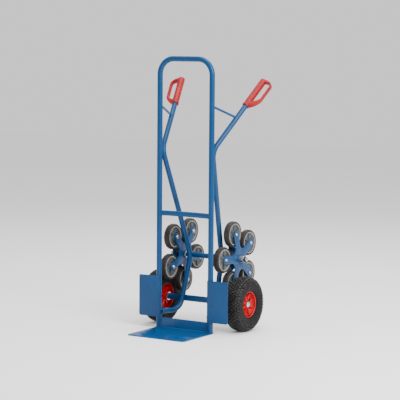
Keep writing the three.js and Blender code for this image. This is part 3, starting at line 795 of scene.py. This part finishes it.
def frame_hoop():
    corners = [Vector((-rail_x, rail_y, hoop_low.z)), Vector((-rail_x, rail_y, top_z - RAIL_R)),
               Vector((rail_x, rail_y, top_z - RAIL_R)), Vector((rail_x, rail_y, hoop_low.z))]
    path = rounded_path(corners, [HOOP_BEND_R, HOOP_BEND_R])
    steps = [(FOOT_CORNER_R - hoop_low.z) * k / FOOT_STEPS for k in range(1, FOOT_STEPS + 1)]
    rise = [path[0] + Vector((0, 0, step)) for step in steps]
    fall = [path[-1] + Vector((0, 0, step)) for step in reversed(steps)]
    bm = bmesh.new()
    tube(bm, path[:1] + rise + path[1:-1] + fall + path[-1:], RAIL_R)
    round_feet(bm)
    painted("frame_hoop_tube", bm, "main_frame_hoop")


def cross_bar():
    low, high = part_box("upper_cross_bar")
    z = (low.z + high.z) / 2
    bow_r = (rail_x ** 2 + CROSS_BAR_BOW ** 2) / (2 * CROSS_BAR_BOW)
    half = math.asin((rail_x - CROSS_BAR_END_INSET) / bow_r)
    points = []
    for k in range(2 * CROSS_BAR_HALF_STEPS + 1):
        angle = half * (k / CROSS_BAR_HALF_STEPS - 1)
        y = rail_y + CROSS_BAR_BOW - bow_r * (1 - math.cos(angle))
        points.append(Vector((bow_r * math.sin(angle), y, z)))
    bm = bmesh.new()
    tube(bm, points, CROSS_BAR_R)
    painted("cross_bar_tube", bm, "upper_cross_bar")
    bm = bmesh.new()
    for _, side in SIDES:
        start = Vector((side * (rail_x - CROSS_BAR_WELD_REACH), points[2].y - CROSS_BAR_WELD_BACK, z))
        rail = Vector((side * rail_x, rail_y, 0))
        weld_ring(bm, start, Vector((side, 0, 0)), CROSS_BAR_R, rail, UP, RAIL_R)
    painted("cross_bar_welds", bm)


def cross_tubes():
    wall = AXLE_R + NEAR
    for node, place, radius in (
        ("wheel_cross_tube", axle, WHEEL_TUBE_R), ("star_cross_tube", star_axle, STAR_TUBE_R),
    ):
        low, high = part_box(node)
        profile = rounded_loop([(wall, low.x), (radius, low.x), (radius, high.x), (wall, high.x)], EDGE, 2)
        bm = bmesh.new()
        turned(bm, profile, TUBE_SIDES, moved_to((0, place.y, place.z)))
        painted(node + "_shell", bm, node)


def handle(label, side):
    corners = handle_corners(side)
    down = (corners[1] - corners[0]).normalized()
    corners[0] = corners[0] + down * GRIP_END_WALL
    inside = (corners[-1] - corners[-2]).normalized()
    corners[-1] = corners[-1] - inside * (RAIL_R * HANDLE_END_SINK)
    bm = bmesh.new()
    tube(bm, rounded_path(corners, [HANDLE_BEND_R, HANDLE_KINK_R, HANDLE_FOOT_R]), HANDLE_R)
    painted(f"handle_{label}_tube", bm, f"handle_tube_{label}")

    bm = bmesh.new()
    rail = Vector((side * rail_x, rail_y, 0))
    weld_ring(bm, corners[-1] - inside * HANDLE_WELD_REACH, inside, HANDLE_R, rail, UP, RAIL_R)
    bend_z = top_z - HANDLE_BEND_BELOW_TOP
    for out in (-1, 1):
        x = side * (rail_x - HANDLE_BEND_INSET / 2) + out * BEND_WELD_SPREAD
        y = rail_y + RAIL_R - BEND_WELD_SINK
        low, high = (Vector((x, y, z)) for z in (bend_z - BEND_WELD_BELOW, bend_z + BEND_WELD_ABOVE))
        weld_line(bm, low, high, HANDLE_WELD_BEAD)
    crossings = (
        (star_axle, STAR_TUBE_R, corners[2].x), (axle, WHEEL_TUBE_R, side * (rail_x - HANDLE_AXLE_INSET)),
    )
    for place, radius, x in crossings:
        for above in (-1, 1):
            y = place.y - radius + KINK_WELD_SINK
            z = place.z + above * KINK_WELD_SPREAD
            first, last = (Vector((x + out * KINK_WELD_HALF, y, z)) for out in (-1, 1))
            weld_line(bm, first, last, HANDLE_WELD_BEAD)
    painted(f"handle_{label}_welds", bm)


def stay(label, side):
    corners = handle_corners(side)
    top = corners[0]
    down = (corners[1] - top).normalized()
    on_tube = top + down * (GRIP_LENGTH + STAY_FROM_GRIP)
    on_rail = Vector((side * rail_x, rail_y, top_z - STAY_BELOW_TOP))
    bm = bmesh.new()
    tube(bm, [on_rail, on_tube], STAY_R, STAY_SIDES)
    painted(f"stay_{label}_rod", bm, f"handle_stay_{label}")
    bm = bmesh.new()
    along = (on_tube - on_rail).normalized()
    middle = (on_tube + on_rail) / 2
    weld_ring(bm, middle, along, STAY_R, on_tube, down, HANDLE_R, STAY_WELD_BEAD)
    weld_ring(bm, middle, -along, STAY_R, on_rail, UP, RAIL_R, STAY_WELD_BEAD)
    painted(f"stay_{label}_welds", bm)


# ---- Sheet metal ----

def round_feet(bm):
    """Pulls in what stands out behind the rounded lower rear corner of the feet."""
    root = rail_y + RAIL_R + GAP - FOOT_CORNER_R
    for v in bm.verts:
        if v.co.z < FOOT_CORNER_R:
            reach = math.sqrt(FOOT_CORNER_R ** 2 - (FOOT_CORNER_R - max(0.0, v.co.z)) ** 2)
            v.co.y = min(v.co.y, root + reach)


def toe_plate():
    """The blade with a tab under each rail, and its flange bent up between the rails."""
    half_w = plate_high.x
    flange_w = rail_x - RAIL_R + GAP
    tab_x = flange_w + GAP
    t = PLATE_T / 2
    bend_y = rail_y + t - PLATE_BEND_R - PLATE_T
    tab_y = rail_y + RAIL_R
    corners = [
        (-half_w, plate_low.y, PLATE_CORNER_R), (half_w, plate_low.y, PLATE_CORNER_R),
        (half_w, tab_y, PLATE_REAR_CORNER_R), (tab_x, tab_y, SHEET_CORNER_R), (tab_x, bend_y, SHEET_CORNER_R),
        (-tab_x, bend_y, SHEET_CORNER_R), (-tab_x, tab_y, SHEET_CORNER_R),
        (-half_w, tab_y, PLATE_REAR_CORNER_R),
    ]
    outline = rounded_loop(corners, 0, SHEET_CORNER_STEPS)
    bm = bmesh.new()
    plate(bm, outline, [], PLATE_T, SHEET_EDGE, moved_to((0, 0, t)))
    round_feet(bm)
    top = plate_high.z
    line = [Vector((0, bend_y - PLATE_T, t)), Vector((0, rail_y, t)), Vector((0, rail_y, top))]
    path = rounded_path(line, [PLATE_BEND_R + t], FLANGE_BEND_STEPS)
    path.insert(-1, Vector((0, rail_y, top - SHEET_EDGE)))

    def section(k):
        high = t - SHEET_EDGE if k == len(path) - 1 else t
        outline = [(-flange_w, -high), (flange_w, -high), (flange_w, high), (-flange_w, high)]
        return rounded_loop(outline, SHEET_EDGE, FINE_STEPS)
    sweep(bm, path, section, across=Vector((1, 0, 0)))
    # The whole toe sheet uses the lighter blue that paints the light on the blade's upward face.
    piece("toe_sheet", bm, LIT_BLADE_BLUE, "frame", ["toe_plate"])

    bm = bmesh.new()
    for _, side in SIDES:
        foot = (side * rail_x, rail_y)
        ring = arc(RAIL_R + FOOT_WELD_CLEAR, FOOT_WELD_FIRST, FOOT_WELD_LAST, foot, FOOT_WELD_STEPS)
        weld_path(bm, [Vector((p.x, p.y, PLATE_T + FOOT_WELD_CLEAR)) for p in ring], FOOT_WELD_BEAD)
        x = side * (rail_x - RAIL_R + FLANGE_WELD_ASIDE)
        y = rail_y - t - FLANGE_WELD_FRONT
        first, last = (Vector((x, y, z)) for z in (PLATE_T + PLATE_BEND_R, top - FLANGE_WELD_BELOW_TOP))
        weld_line(bm, first, last, FLANGE_WELD_BEAD)
    painted("toe_welds", bm)


def wheel_guard(label, side):
    low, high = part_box(f"wheel_guard_{label}")
    inner, outer = (low.x, high.x) if side > 0 else (high.x, low.x)
    corners = [
        (inner, low.z, SHEET_CORNER_R), (outer, low.z, GUARD_CORNER_R),
        (outer, high.z, GUARD_CORNER_R), (inner, high.z, SHEET_CORNER_R),
    ]
    if side < 0:
        corners.reverse()
    outline = rounded_loop(corners, 0, SHEET_CORNER_STEPS)
    basis = Matrix(((1, 0, 0), (0, 0, 1), (0, 1, 0))).to_4x4()
    place = moved_to((0, (low.y + high.y) / 2, 0)) @ basis
    bm = bmesh.new()
    plate(bm, outline, [], high.y - low.y, SHEET_EDGE, place)
    painted(f"guard_{label}_sheet", bm, f"wheel_guard_{label}")


# ---- Grips ----

def grip(label, side):
    """A moulded sleeve with its D-shaped hand guard, drawn with Z up the tube and X towards the guard."""
    corners = handle_corners(side)
    down = (corners[1] - corners[0]).normalized()
    up = -down
    outboard = Vector((side, 0, 0))
    outboard = (outboard - up * outboard.dot(up)).normalized()
    outboard = Matrix.Rotation(side * LOOP_TURN, 3, up) @ outboard
    basis = Matrix((outboard, up.cross(outboard), up)).transposed().to_4x4()
    place = moved_to(corners[0] + down * GRIP_LENGTH) @ basis

    sleeve = [
        (0, GRIP_START, 0), (GRIP_COLLAR_R, GRIP_START, ROUND_EDGE),
        (GRIP_COLLAR_R, GRIP_COLLAR_LENGTH, SOFT_EDGE),
        (GRIP_R, GRIP_COLLAR_LENGTH + GRIP_COLLAR_SLOPE, GRIP_COLLAR_SLOPE),
        (GRIP_R, GRIP_LENGTH, GRIP_NOSE_R), (0, GRIP_LENGTH, 0),
    ]
    profile = rounded_loop(sleeve, 0, GRIP_CORNER_STEPS)
    upright = place @ Matrix(((0, 0, -1), (0, 1, 0), (1, 0, 0))).to_4x4()
    bm = bmesh.new()
    turned(bm, profile, GRIP_SEGMENTS, upright)

    outer = LOOP_REACH + LOOP_T / 2
    inner = LOOP_REACH - LOOP_T / 2
    root = GRIP_COLLAR_R - LOOP_ROOT
    shares = [k / LOOP_STRAIGHT_STEPS for k in range(1, LOOP_STRAIGHT_STEPS + 1)]
    crown = (GRIP_R + LOOP_T, LOOP_CROWN)
    outline = [Vector((LOOP_INSIDE, LOOP_START)), Vector((root, LOOP_START))]
    outline += curve((root, LOOP_START), (outer - LOOP_T, LOOP_BELLY), (outer, LOOP_LOW), LOOP_BELLY_STEPS)
    outline += [Vector((outer, LOOP_LOW + (LOOP_HIGH - LOOP_LOW) * share)) for share in shares]
    outline += curve((outer, LOOP_HIGH), (outer, LOOP_CROWN - LOOP_T), crown, LOOP_STEPS)
    outline += [Vector((LOOP_INSIDE, LOOP_CROWN))]
    root = GRIP_R - LOOP_ROOT
    low = LOOP_LOW + LOOP_T
    gap = [Vector((root, LOOP_GAP_START))]
    gap += curve((root, LOOP_GAP_START), (inner - LOOP_T, LOOP_LOW - 2 * LOOP_T), (inner, low), LOOP_STEPS)
    gap += [Vector((inner, low + (LOOP_HIGH - low) * share)) for share in shares]
    top = (inner - LOOP_GAP_CORNER, LOOP_GAP_TOP)
    gap += curve((inner, LOOP_HIGH), (inner, LOOP_GAP_TOP), top, LOOP_GAP_TOP_STEPS)
    gap += [Vector((root, LOOP_GAP_TOP))]
    gap.reverse()
    flat = place @ Matrix(((1, 0, 0), (0, 0, 1), (0, 1, 0))).to_4x4()
    plate(bm, outline, [gap], LOOP_W, GRIP_EDGE, flat, GRIP_EDGE_STEPS)
    piece(f"grip_{label}_moulding", bm, RED, "frame", [f"handle_grip_{label}"])


# ---- Axles ----

def turned_piece(name, profile, material, body, matrix, stands_for=(),
                 segments=SHAFT_SEGMENTS, sharp=SHARP):
    bm = bmesh.new()
    turned(bm, profile, segments, matrix)
    return piece(name, bm, material, body, stands_for, sharp)


def ring_profile(inner, outer, low, high, edge):
    return rounded_loop([(inner, low), (outer, low), (outer, high), (inner, high)], edge, FINE_STEPS)


def axles():
    for node, place in (("wheel_axle", axle), ("star_axle", star_axle)):
        low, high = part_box(node)
        rod = [(0, low.x, 0), (AXLE_R, low.x, ROUND_EDGE), (AXLE_R, high.x, ROUND_EDGE), (0, high.x, 0)]
        turned_piece(node + "_rod", rounded_loop(rod, 0, FINE_STEPS), ZINC, "frame",
                     moved_to((0, place.y, place.z)), [node])
    for label, side in SIDES:
        low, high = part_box(f"wheel_axle_cap_{label}")
        radius = (high.z - low.z) / 2
        inner = min(abs(low.x), abs(high.x))
        thick = high.x - low.x
        dome = [
            (0, 0.0, 0), (radius, 0.0, EDGE), (radius, CAP_RIM_T, EDGE),
            (radius * CAP_CROWN_SHARE, thick * CAP_SHOULDER_SHARE, CAP_SHOULDER_R), (0, thick, 0),
        ]
        turned_piece(f"wheel_cap_{label}_dome", rounded_loop(dome, 0, DOME_STEPS), ZINC, "frame",
                     along_x((side * inner, axle.y, axle.z), side), [f"wheel_axle_cap_{label}"])
        low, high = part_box(f"star_axle_collar_{label}")
        inner = min(abs(low.x), abs(high.x))
        collar = ring_profile(AXLE_R + GAP, (high.z - low.z) / 2, 0.0, high.x - low.x, DULL_EDGE)
        turned_piece(f"star_collar_{label}_ring", collar, DARK_STEEL, "frame",
                     along_x((side * inner, star_axle.y, star_axle.z), side), [f"star_axle_collar_{label}"])
        washer = ring_profile(AXLE_R + GAP, WASHER_R, GAP, WASHER_T, FINE_EDGE)
        turned_piece(f"wheel_washer_{label}", washer, ZINC, "frame",
                     along_x((side * tube_end, axle.y, axle.z), side))


# ---- Main wheels ----

def tyre_contour():
    """Half of the carcass section as (radius, x), from the crown out and down to the bead."""
    rise = tyre_r - TREAD_HEIGHT - TYRE_WIDEST_R
    points = [Vector((TYRE_WIDEST_R + rise, 0.0))]
    for k in range(1, TYRE_STEPS):
        a = math.pi / 2 * (1 - k / TYRE_STEPS)
        radius = TYRE_WIDEST_R + rise * math.sin(a) ** TYRE_CROWN_POWER
        points.append(Vector((radius, tyre_half * math.cos(a) ** TYRE_CROWN_POWER)))
    points.append(Vector((TYRE_WIDEST_R, tyre_half)))
    bead_x = RIM_W / 2 - RIM_LIP_T
    bead_r = RIM_R + NEAR
    for k in range(1, TYRE_STEPS + 1):
        a = math.pi / 2 * k / TYRE_STEPS
        radius = TYRE_WIDEST_R - (TYRE_WIDEST_R - bead_r) * math.sin(a)
        x = bead_x + (tyre_half - bead_x) * math.cos(a) ** TYRE_WALL_POWER
        for ridge in TYRE_RIDGES:
            x += RIDGE_HEIGHT * math.exp(-((radius - ridge) / RIDGE_W) ** 2)
        points.append(Vector((radius, x)))
    return points


def main_tyre(label, side):
    contour = tyre_contour()
    bore = RIM_BARREL_R + GAP
    half = contour + [Vector((bore, contour[-1].y))]
    profile = half + [Vector((p.x, -p.y)) for p in reversed(half[1:])]
    place = moved_to((side * wheel_x, axle.y, axle.z))
    bm = bmesh.new()
    turned(bm, profile, WHEEL_SEGMENTS, place)
    body = f"main_wheel_{label}"
    piece(f"tyre_{label}_carcass", bm, BLACK, body, [f"main_tyre_{label}"], TYRE_SHARP)
    bm = bmesh.new()
    tread(bm, contour, place)
    # The blocks carry the lighter rubber: dust with a painted highlight.
    piece(f"tyre_{label}_tread", bm, TREAD_DUST_AND_HIGHLIGHT, body, sharp=TYRE_SHARP)


def tread(bm, contour, place):
    """Rows of staggered blocks that follow the carcass, and a lug at each shoulder."""
    lengths = [0.0]
    for a, b in zip(contour, contour[1:]):
        lengths.append(lengths[-1] + (b - a).length)

    def at(distance):
        k = max(j for j, length in enumerate(lengths[:-1]) if length <= distance)
        a, b = contour[k], contour[k + 1]
        direction = (b - a).normalized()
        p = a + direction * (distance - lengths[k])
        return p, Vector((direction.y, -direction.x))

    pitch = TURN / TREAD_PITCHES
    for row, (distance, width, length, height, skew) in enumerate(TREAD_ROWS):
        p, normal = at(distance)
        for flip in (-1, 1):
            for k in range(TREAD_PITCHES):
                angle = pitch * (k + (0.5 if (row + (flip > 0)) % 2 else 0.0))
                out = Vector((0, math.cos(angle), math.sin(angle)))
                round_ = Vector((0, -math.sin(angle), math.cos(angle)))
                x_axis = Vector((flip, 0, 0))
                up = (out * normal.x + x_axis * normal.y).normalized()
                across = round_.cross(up)
                origin = out * p.x + x_axis * p.y
                basis = Matrix((round_, across, up)).transposed().to_4x4()
                spot = place @ moved_to(origin) @ basis
                lug(bm, spot, length, width, height, TREAD_ROOT, TREAD_EDGE, skew)


def main_rim(label, side):
    body = f"main_wheel_{label}"
    half = RIM_W / 2
    inner = RIM_BARREL_R - RIM_WALL
    web = RIM_WEB_T / 2
    hub_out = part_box("wheel_axle")[1].x - wheel_x
    hub_in = tube_end + WASHER_T - wheel_x
    lip = RIM_R - RIM_LIP_SLOPE
    outer = [
        (HUB_R, web, RIM_HUB_FILLET), (inner, web, RIM_WEB_FILLET), (lip, half, ROUND_EDGE),
        (RIM_R, half, SOFT_EDGE), (RIM_R, half - RIM_LIP_T, LIP_EDGE),
        (RIM_BARREL_R, half - RIM_LIP_T, LIP_EDGE),
    ]
    profile = [(BEARING_R, hub_in, FINE_EDGE), (HUB_R, hub_in, LIP_EDGE)] + both_sides(outer)
    profile += [(HUB_R, hub_out, LIP_EDGE), (BEARING_R, hub_out, FINE_EDGE)]
    place = along_x((side * wheel_x, axle.y, axle.z), side)
    bm = bmesh.new()
    turned(bm, rounded_loop(profile, 0, FINE_STEPS), WHEEL_SEGMENTS, place)
    rib = (2 * RIM_RIB_HALF_W, RIM_RIB_T, inner - HUB_R + RIM_RIB_SINK)
    for k in range(RIM_RIBS):
        turn = Matrix.Rotation(TURN * (k + 0.5) / RIM_RIBS, 4, "X")
        block(bm, place @ turn @ moved_to((0, 0, (inner + HUB_R) / 2)), rib, SOFT_EDGE)
    piece(f"rim_{label}_casting", bm, RIM_RED, body, [f"main_rim_{label}"])

    bm = bmesh.new()
    for low_x, high_x in ((hub_out - BEARING_REACH, hub_out - NEAR), (hub_in + NEAR, hub_in + BEARING_REACH)):
        ring = ring_profile(AXLE_R + BEARING_BORE_GAP, BEARING_R, low_x, high_x, EDGE)
        turned(bm, ring, SHAFT_SEGMENTS, place)
        for k in range(ROLLERS):
            turn = Matrix.Rotation(TURN * k / ROLLERS, 4, "X")
            roller = place @ turn @ moved_to(((low_x + high_x) / 2, 0, ROLLER_RING_R))
            block(bm, roller, (high_x - low_x + ROLLER_PROUD, ROLLER_W, ROLLER_W), EDGE)
    piece(f"wheel_{label}_bearings", bm, DARK_STEEL, body)
    valve(label, place, body)


def valve(label, place, body):
    """A rubber valve stem with its cap, through the rim's web."""
    turn = Matrix.Rotation(VALVE_ANGLE, 4, "X") @ moved_to((0, 0, VALVE_FROM_AXLE))
    tilt = Matrix.Rotation(VALVE_TILT, 4, "Y")
    profile = rounded_loop(VALVE_STEM, 0, FINE_STEPS)
    turned_piece(f"wheel_{label}_valve", profile, BLACK, body, place @ turn @ tilt,
                 segments=VALVE_SEGMENTS)


# ---- Star wheel sets ----

def star_outline(star_r):
    """Arms with round ends, joined by round notches that run tangent to the arms' sides."""
    step = TURN / STAR_ARMS
    notch_at = (STAR_NOTCH_BOTTOM_R - STAR_ARM_HALF_W) / (1 - math.sin(step / 2))
    notch_r = notch_at - STAR_NOTCH_BOTTOM_R
    outline = []
    for k in range(STAR_ARMS):
        arm = k * step
        notch = arm + step / 2
        tip = (star_r * math.cos(arm), star_r * math.sin(arm))
        bay = (notch_at * math.cos(notch), notch_at * math.sin(notch))
        outline += arc(STAR_ARM_HALF_W, arm - math.pi / 2, arm + math.pi / 2, tip, STAR_TIP_STEPS)
        first = arm - math.pi / 2
        outline += arc(notch_r, first, first - (math.pi - step), bay, STAR_NOTCH_STEPS)[:-1]
    return outline


def star(label, side):
    body = f"star_{label}"
    middle = Vector((side * star_x, star_axle.y, star_axle.z))
    first = centre(f"star_wheel_{label}_1_hub")
    phase = math.atan2(first.z - middle.z, first.y - middle.y)
    star_r = math.hypot(first.z - middle.z, first.y - middle.y)
    holes = [list(reversed(circle(STAR_HUB_R + GAP, SHAFT_SEGMENTS)))]
    step = TURN / STAR_ARMS
    tips = [(star_r * math.cos(k * step), star_r * math.sin(k * step)) for k in range(STAR_ARMS)]
    holes += [list(reversed(circle(BOLT_R + GAP, BOLT_HOLE_SIDES, tip))) for tip in tips]
    turn = Matrix.Rotation(phase, 4, "X")
    for which in ("outer", "inner"):
        node = f"star_plate_{which}_{label}"
        place = across_x((centre(node).x, middle.y, middle.z))
        local = Matrix.Rotation(phase, 4, "Z")
        bm = bmesh.new()
        plate(bm, star_outline(star_r), holes, STAR_PLATE_T, SHEET_EDGE, place @ local)
        piece(f"star_{label}_{which}_sheet", bm, BLUE, body, [node])

    low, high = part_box(f"star_hub_{label}")
    ends = sorted((side * low.x, side * high.x))
    sleeve = ring_profile(AXLE_R + NEAR, STAR_HUB_R, ends[0] - star_x, ends[1] - star_x, SOFT_EDGE)
    place = along_x(middle, side)
    turned_piece(f"star_{label}_sleeve", sleeve, ZINC, body, place, [f"star_hub_{label}"])
    bm = bmesh.new()
    for out in (-1, 1):
        ring = circle(STAR_HUB_R + NEAR, WELD_STEPS)
        points = [place @ turn @ Vector((out * star_half, p.x, p.y)) for p in ring]
        sweep(bm, points, rippled(STAR_WELD_BEAD, STAR_WELD_RIPPLE), closed=True)
    piece(f"star_{label}_hub_welds", bm, BLUE, body)

    for k in range(STAR_ARMS):
        tip = centre(f"star_wheel_{label}_{k + 1}_hub")
        spot = along_x((side * star_x, tip.y, tip.z), side)
        star_bolt(label, k + 1, body, spot)
        small_wheel(label, k + 1, spot)


def star_bolt(label, number, body, place):
    """A domed bolt through both plates, with a washer and a hexagon nut inside."""
    head = star_half + GAP
    end = -head - NUT_T - BOLT_END_CLEAR
    dome = [
        (0, end, 0), (BOLT_R, end, DULL_EDGE), (BOLT_R, head, 0),
        (BOLT_HEAD_R, head, BOLT_HEAD_EDGE), (BOLT_HEAD_R, head + BOLT_RIM_T, EDGE),
        (BOLT_HEAD_R * BOLT_CROWN_SHARE, head + BOLT_HEAD_T, BOLT_CROWN_R), (0, head + BOLT_HEAD_T, 0),
    ]
    bm = bmesh.new()
    turned(bm, rounded_loop(dome, 0, DOME_STEPS), BOLT_SEGMENTS, place)
    hole = BOLT_R + BOLT_SLIP
    nut_high = -head - BOLT_WASHER_T
    nut_low = -head - NUT_T + NUT_INSET
    turned(bm, ring_profile(hole, NUT_R, nut_high, -head, BOLT_WASHER_EDGE), BOLT_SEGMENTS, place)
    nut = [
        (hole, nut_low), (NUT_R * NUT_LOW_SHARE, nut_low), (NUT_R, nut_low + NUT_LOW_CHAMFER),
        (NUT_R, nut_high - NUT_HIGH_CHAMFER), (NUT_R * NUT_HIGH_SHARE, nut_high), (hole, nut_high),
    ]
    turned(bm, [Vector(p) for p in nut], NUT_SIDES, place)
    piece(f"star_{label}_bolt_{number}", bm, ZINC, body, [f"star_bolt_{label}_{number}"], BOLT_SHARP)


def small_wheel(label, number, place):
    """A rubber tyre on a moulded rim, with a ribbed web and a boss in a darker grey, painted shade for the
    recessed centre.
    """
    body = f"star_wheel_{label}_{number}"
    low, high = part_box(body + "_tyre")
    half = (high.x - low.x) / 2
    wall = [
        (SMALL_BORE_R, half - SMALL_TYRE_RECESS, DULL_EDGE),
        (SMALL_BORE_R + SMALL_TYRE_SHOULDER, half - SMALL_TYRE_STEP, SMALL_TYRE_SHOULDER_R),
        (SMALL_WHEEL_R - SMALL_TYRE_SHOULDER, half, SMALL_TYRE_SHOULDER_R),
        (SMALL_WHEEL_R - SMALL_TYRE_CROWN, half - SMALL_TYRE_CROWN_INSET, SMALL_TYRE_CROWN_R),
    ]
    tyre = both_sides(wall, [(SMALL_WHEEL_R, 0, 0.0)])
    turned_piece(f"small_{label}_{number}_tread", rounded_loop(tyre, 0), GREY_TREAD, body,
                 place, [body + "_tyre"], SMALL_SEGMENTS, SMALL_TYRE_SHARP)
    rim = SMALL_BORE_R - GAP
    ring = both_sides([(SMALL_RING_R, SMALL_RIM_HALF_W, SOFT_EDGE), (rim, SMALL_RIM_HALF_W, EDGE)])
    turned_piece(f"small_{label}_{number}_ring", rounded_loop(ring, 0, FINE_STEPS), GREY_HUB,
                 body, place, [body + "_hub"], SMALL_SEGMENTS)
    low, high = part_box(body + "_hub")
    boss = (high.x - low.x) / 2
    web = SMALL_WEB_HALF_T
    near = BOLT_R + NEAR
    root = SMALL_RING_R + NEAR
    middle = both_sides([
        (near, boss, EDGE), (SMALL_BOSS_R, boss, SOFT_EDGE),
        (SMALL_BOSS_R, web, SMALL_WEB_FILLET), (root, web, 0),
    ])
    bm = bmesh.new()
    turned(bm, rounded_loop(middle, 0, FINE_STEPS), SMALL_SEGMENTS, place)
    rib = (2 * SMALL_RIB_HALF_W, SMALL_RIB_T, SMALL_RING_R - SMALL_BOSS_R + SMALL_RIB_SINK)
    for k in range(SMALL_RIBS):
        turn = Matrix.Rotation(TURN * k / SMALL_RIBS, 4, "X")
        block(bm, place @ turn @ moved_to((0, 0, (SMALL_RING_R + SMALL_BOSS_R) / 2)), rib, EDGE)
    # The centre takes the darker grey that paints the shade of its recess.
    piece(f"small_{label}_{number}_centre", bm, SHADED_GREY_WEB, body)


# ---- The whole truck ----

frame_hoop()
cross_bar()
cross_tubes()
toe_plate()
axles()
for label, side in SIDES:
    handle(label, side)
    stay(label, side)
    wheel_guard(label, side)
    grip(label, side)
    main_tyre(label, side)
    main_rim(label, side)
    star(label, side)


# ---- Studio ----

def floor():
    bm = bmesh.new()
    bmesh.ops.create_grid(bm, x_segments=FLOOR_CELLS, y_segments=FLOOR_CELLS, size=FLOOR_HALF)
    mesh = bpy.data.meshes.new("floor")
    bm.to_mesh(mesh)
    bm.free()
    s = Surface("pale_floor")
    s.colour(s.mix(s.noise(1.5), linear("F8F8F8"), linear("FCFCFC")))
    s.roughness(s.between(s.noise(3.0), *BAND, 0.55, 0.65))
    mesh.materials.append(s.material)
    obj = bpy.data.objects.new("floor", mesh)
    put_in_scene(obj)


def seen_from(azimuth, elevation):
    """The direction from the truck to a viewer or a light. An azimuth of 0 is in front of it."""
    flat = math.cos(elevation)
    return Vector((math.sin(azimuth) * flat, -math.cos(azimuth) * flat, math.sin(elevation)))


def soft_light(name, azimuth, elevation, distance, size, power):
    """An area light aimed at the truck's middle, from an azimuth like the camera's."""
    back = seen_from(math.radians(azimuth), math.radians(elevation))
    data = bpy.data.lights.new(name, "AREA")
    data.shape = "SQUARE"
    data.size = size
    data.energy = power
    light = bpy.data.objects.new(name, data)
    light.location = Vector((0, 0, top_z / 2)) + back * distance
    light.rotation_mode = "QUATERNION"
    light.rotation_quaternion = (-back).to_track_quat("-Z", "Y")
    put_in_scene(light)


def sky():
    world = bpy.data.worlds.new("studio")
    world.use_nodes = True
    background = world.node_tree.nodes["Background"]
    background.inputs["Color"].default_value = (1, 1, 1, 1)
    background.inputs["Strength"].default_value = SKY_STRENGTH
    bpy.context.scene.world = world


def camera():
    back = seen_from(CAMERA_AZIMUTH, CAMERA_ELEVATION)
    level = Vector((math.cos(CAMERA_AZIMUTH), math.sin(CAMERA_AZIMUTH), 0))
    right = level * math.cos(CAMERA_ROLL) + back.cross(level) * math.sin(CAMERA_ROLL)
    turn = Matrix((right, back.cross(right), back)).transposed()
    data = bpy.data.cameras.new("camera")
    data.lens = CAMERA_LENS
    data.sensor_width = CAMERA_SENSOR_MM
    data.clip_end = CAMERA_CLIP_END
    obj = bpy.data.objects.new("camera", data)
    obj.matrix_world = moved_to(CAMERA_TARGET + back * CAMERA_DISTANCE) @ turn.to_4x4()
    put_in_scene(obj)
    bpy.context.scene.camera = obj


floor()
sky()
for settings in LIGHTS:
    soft_light(*settings)
camera()
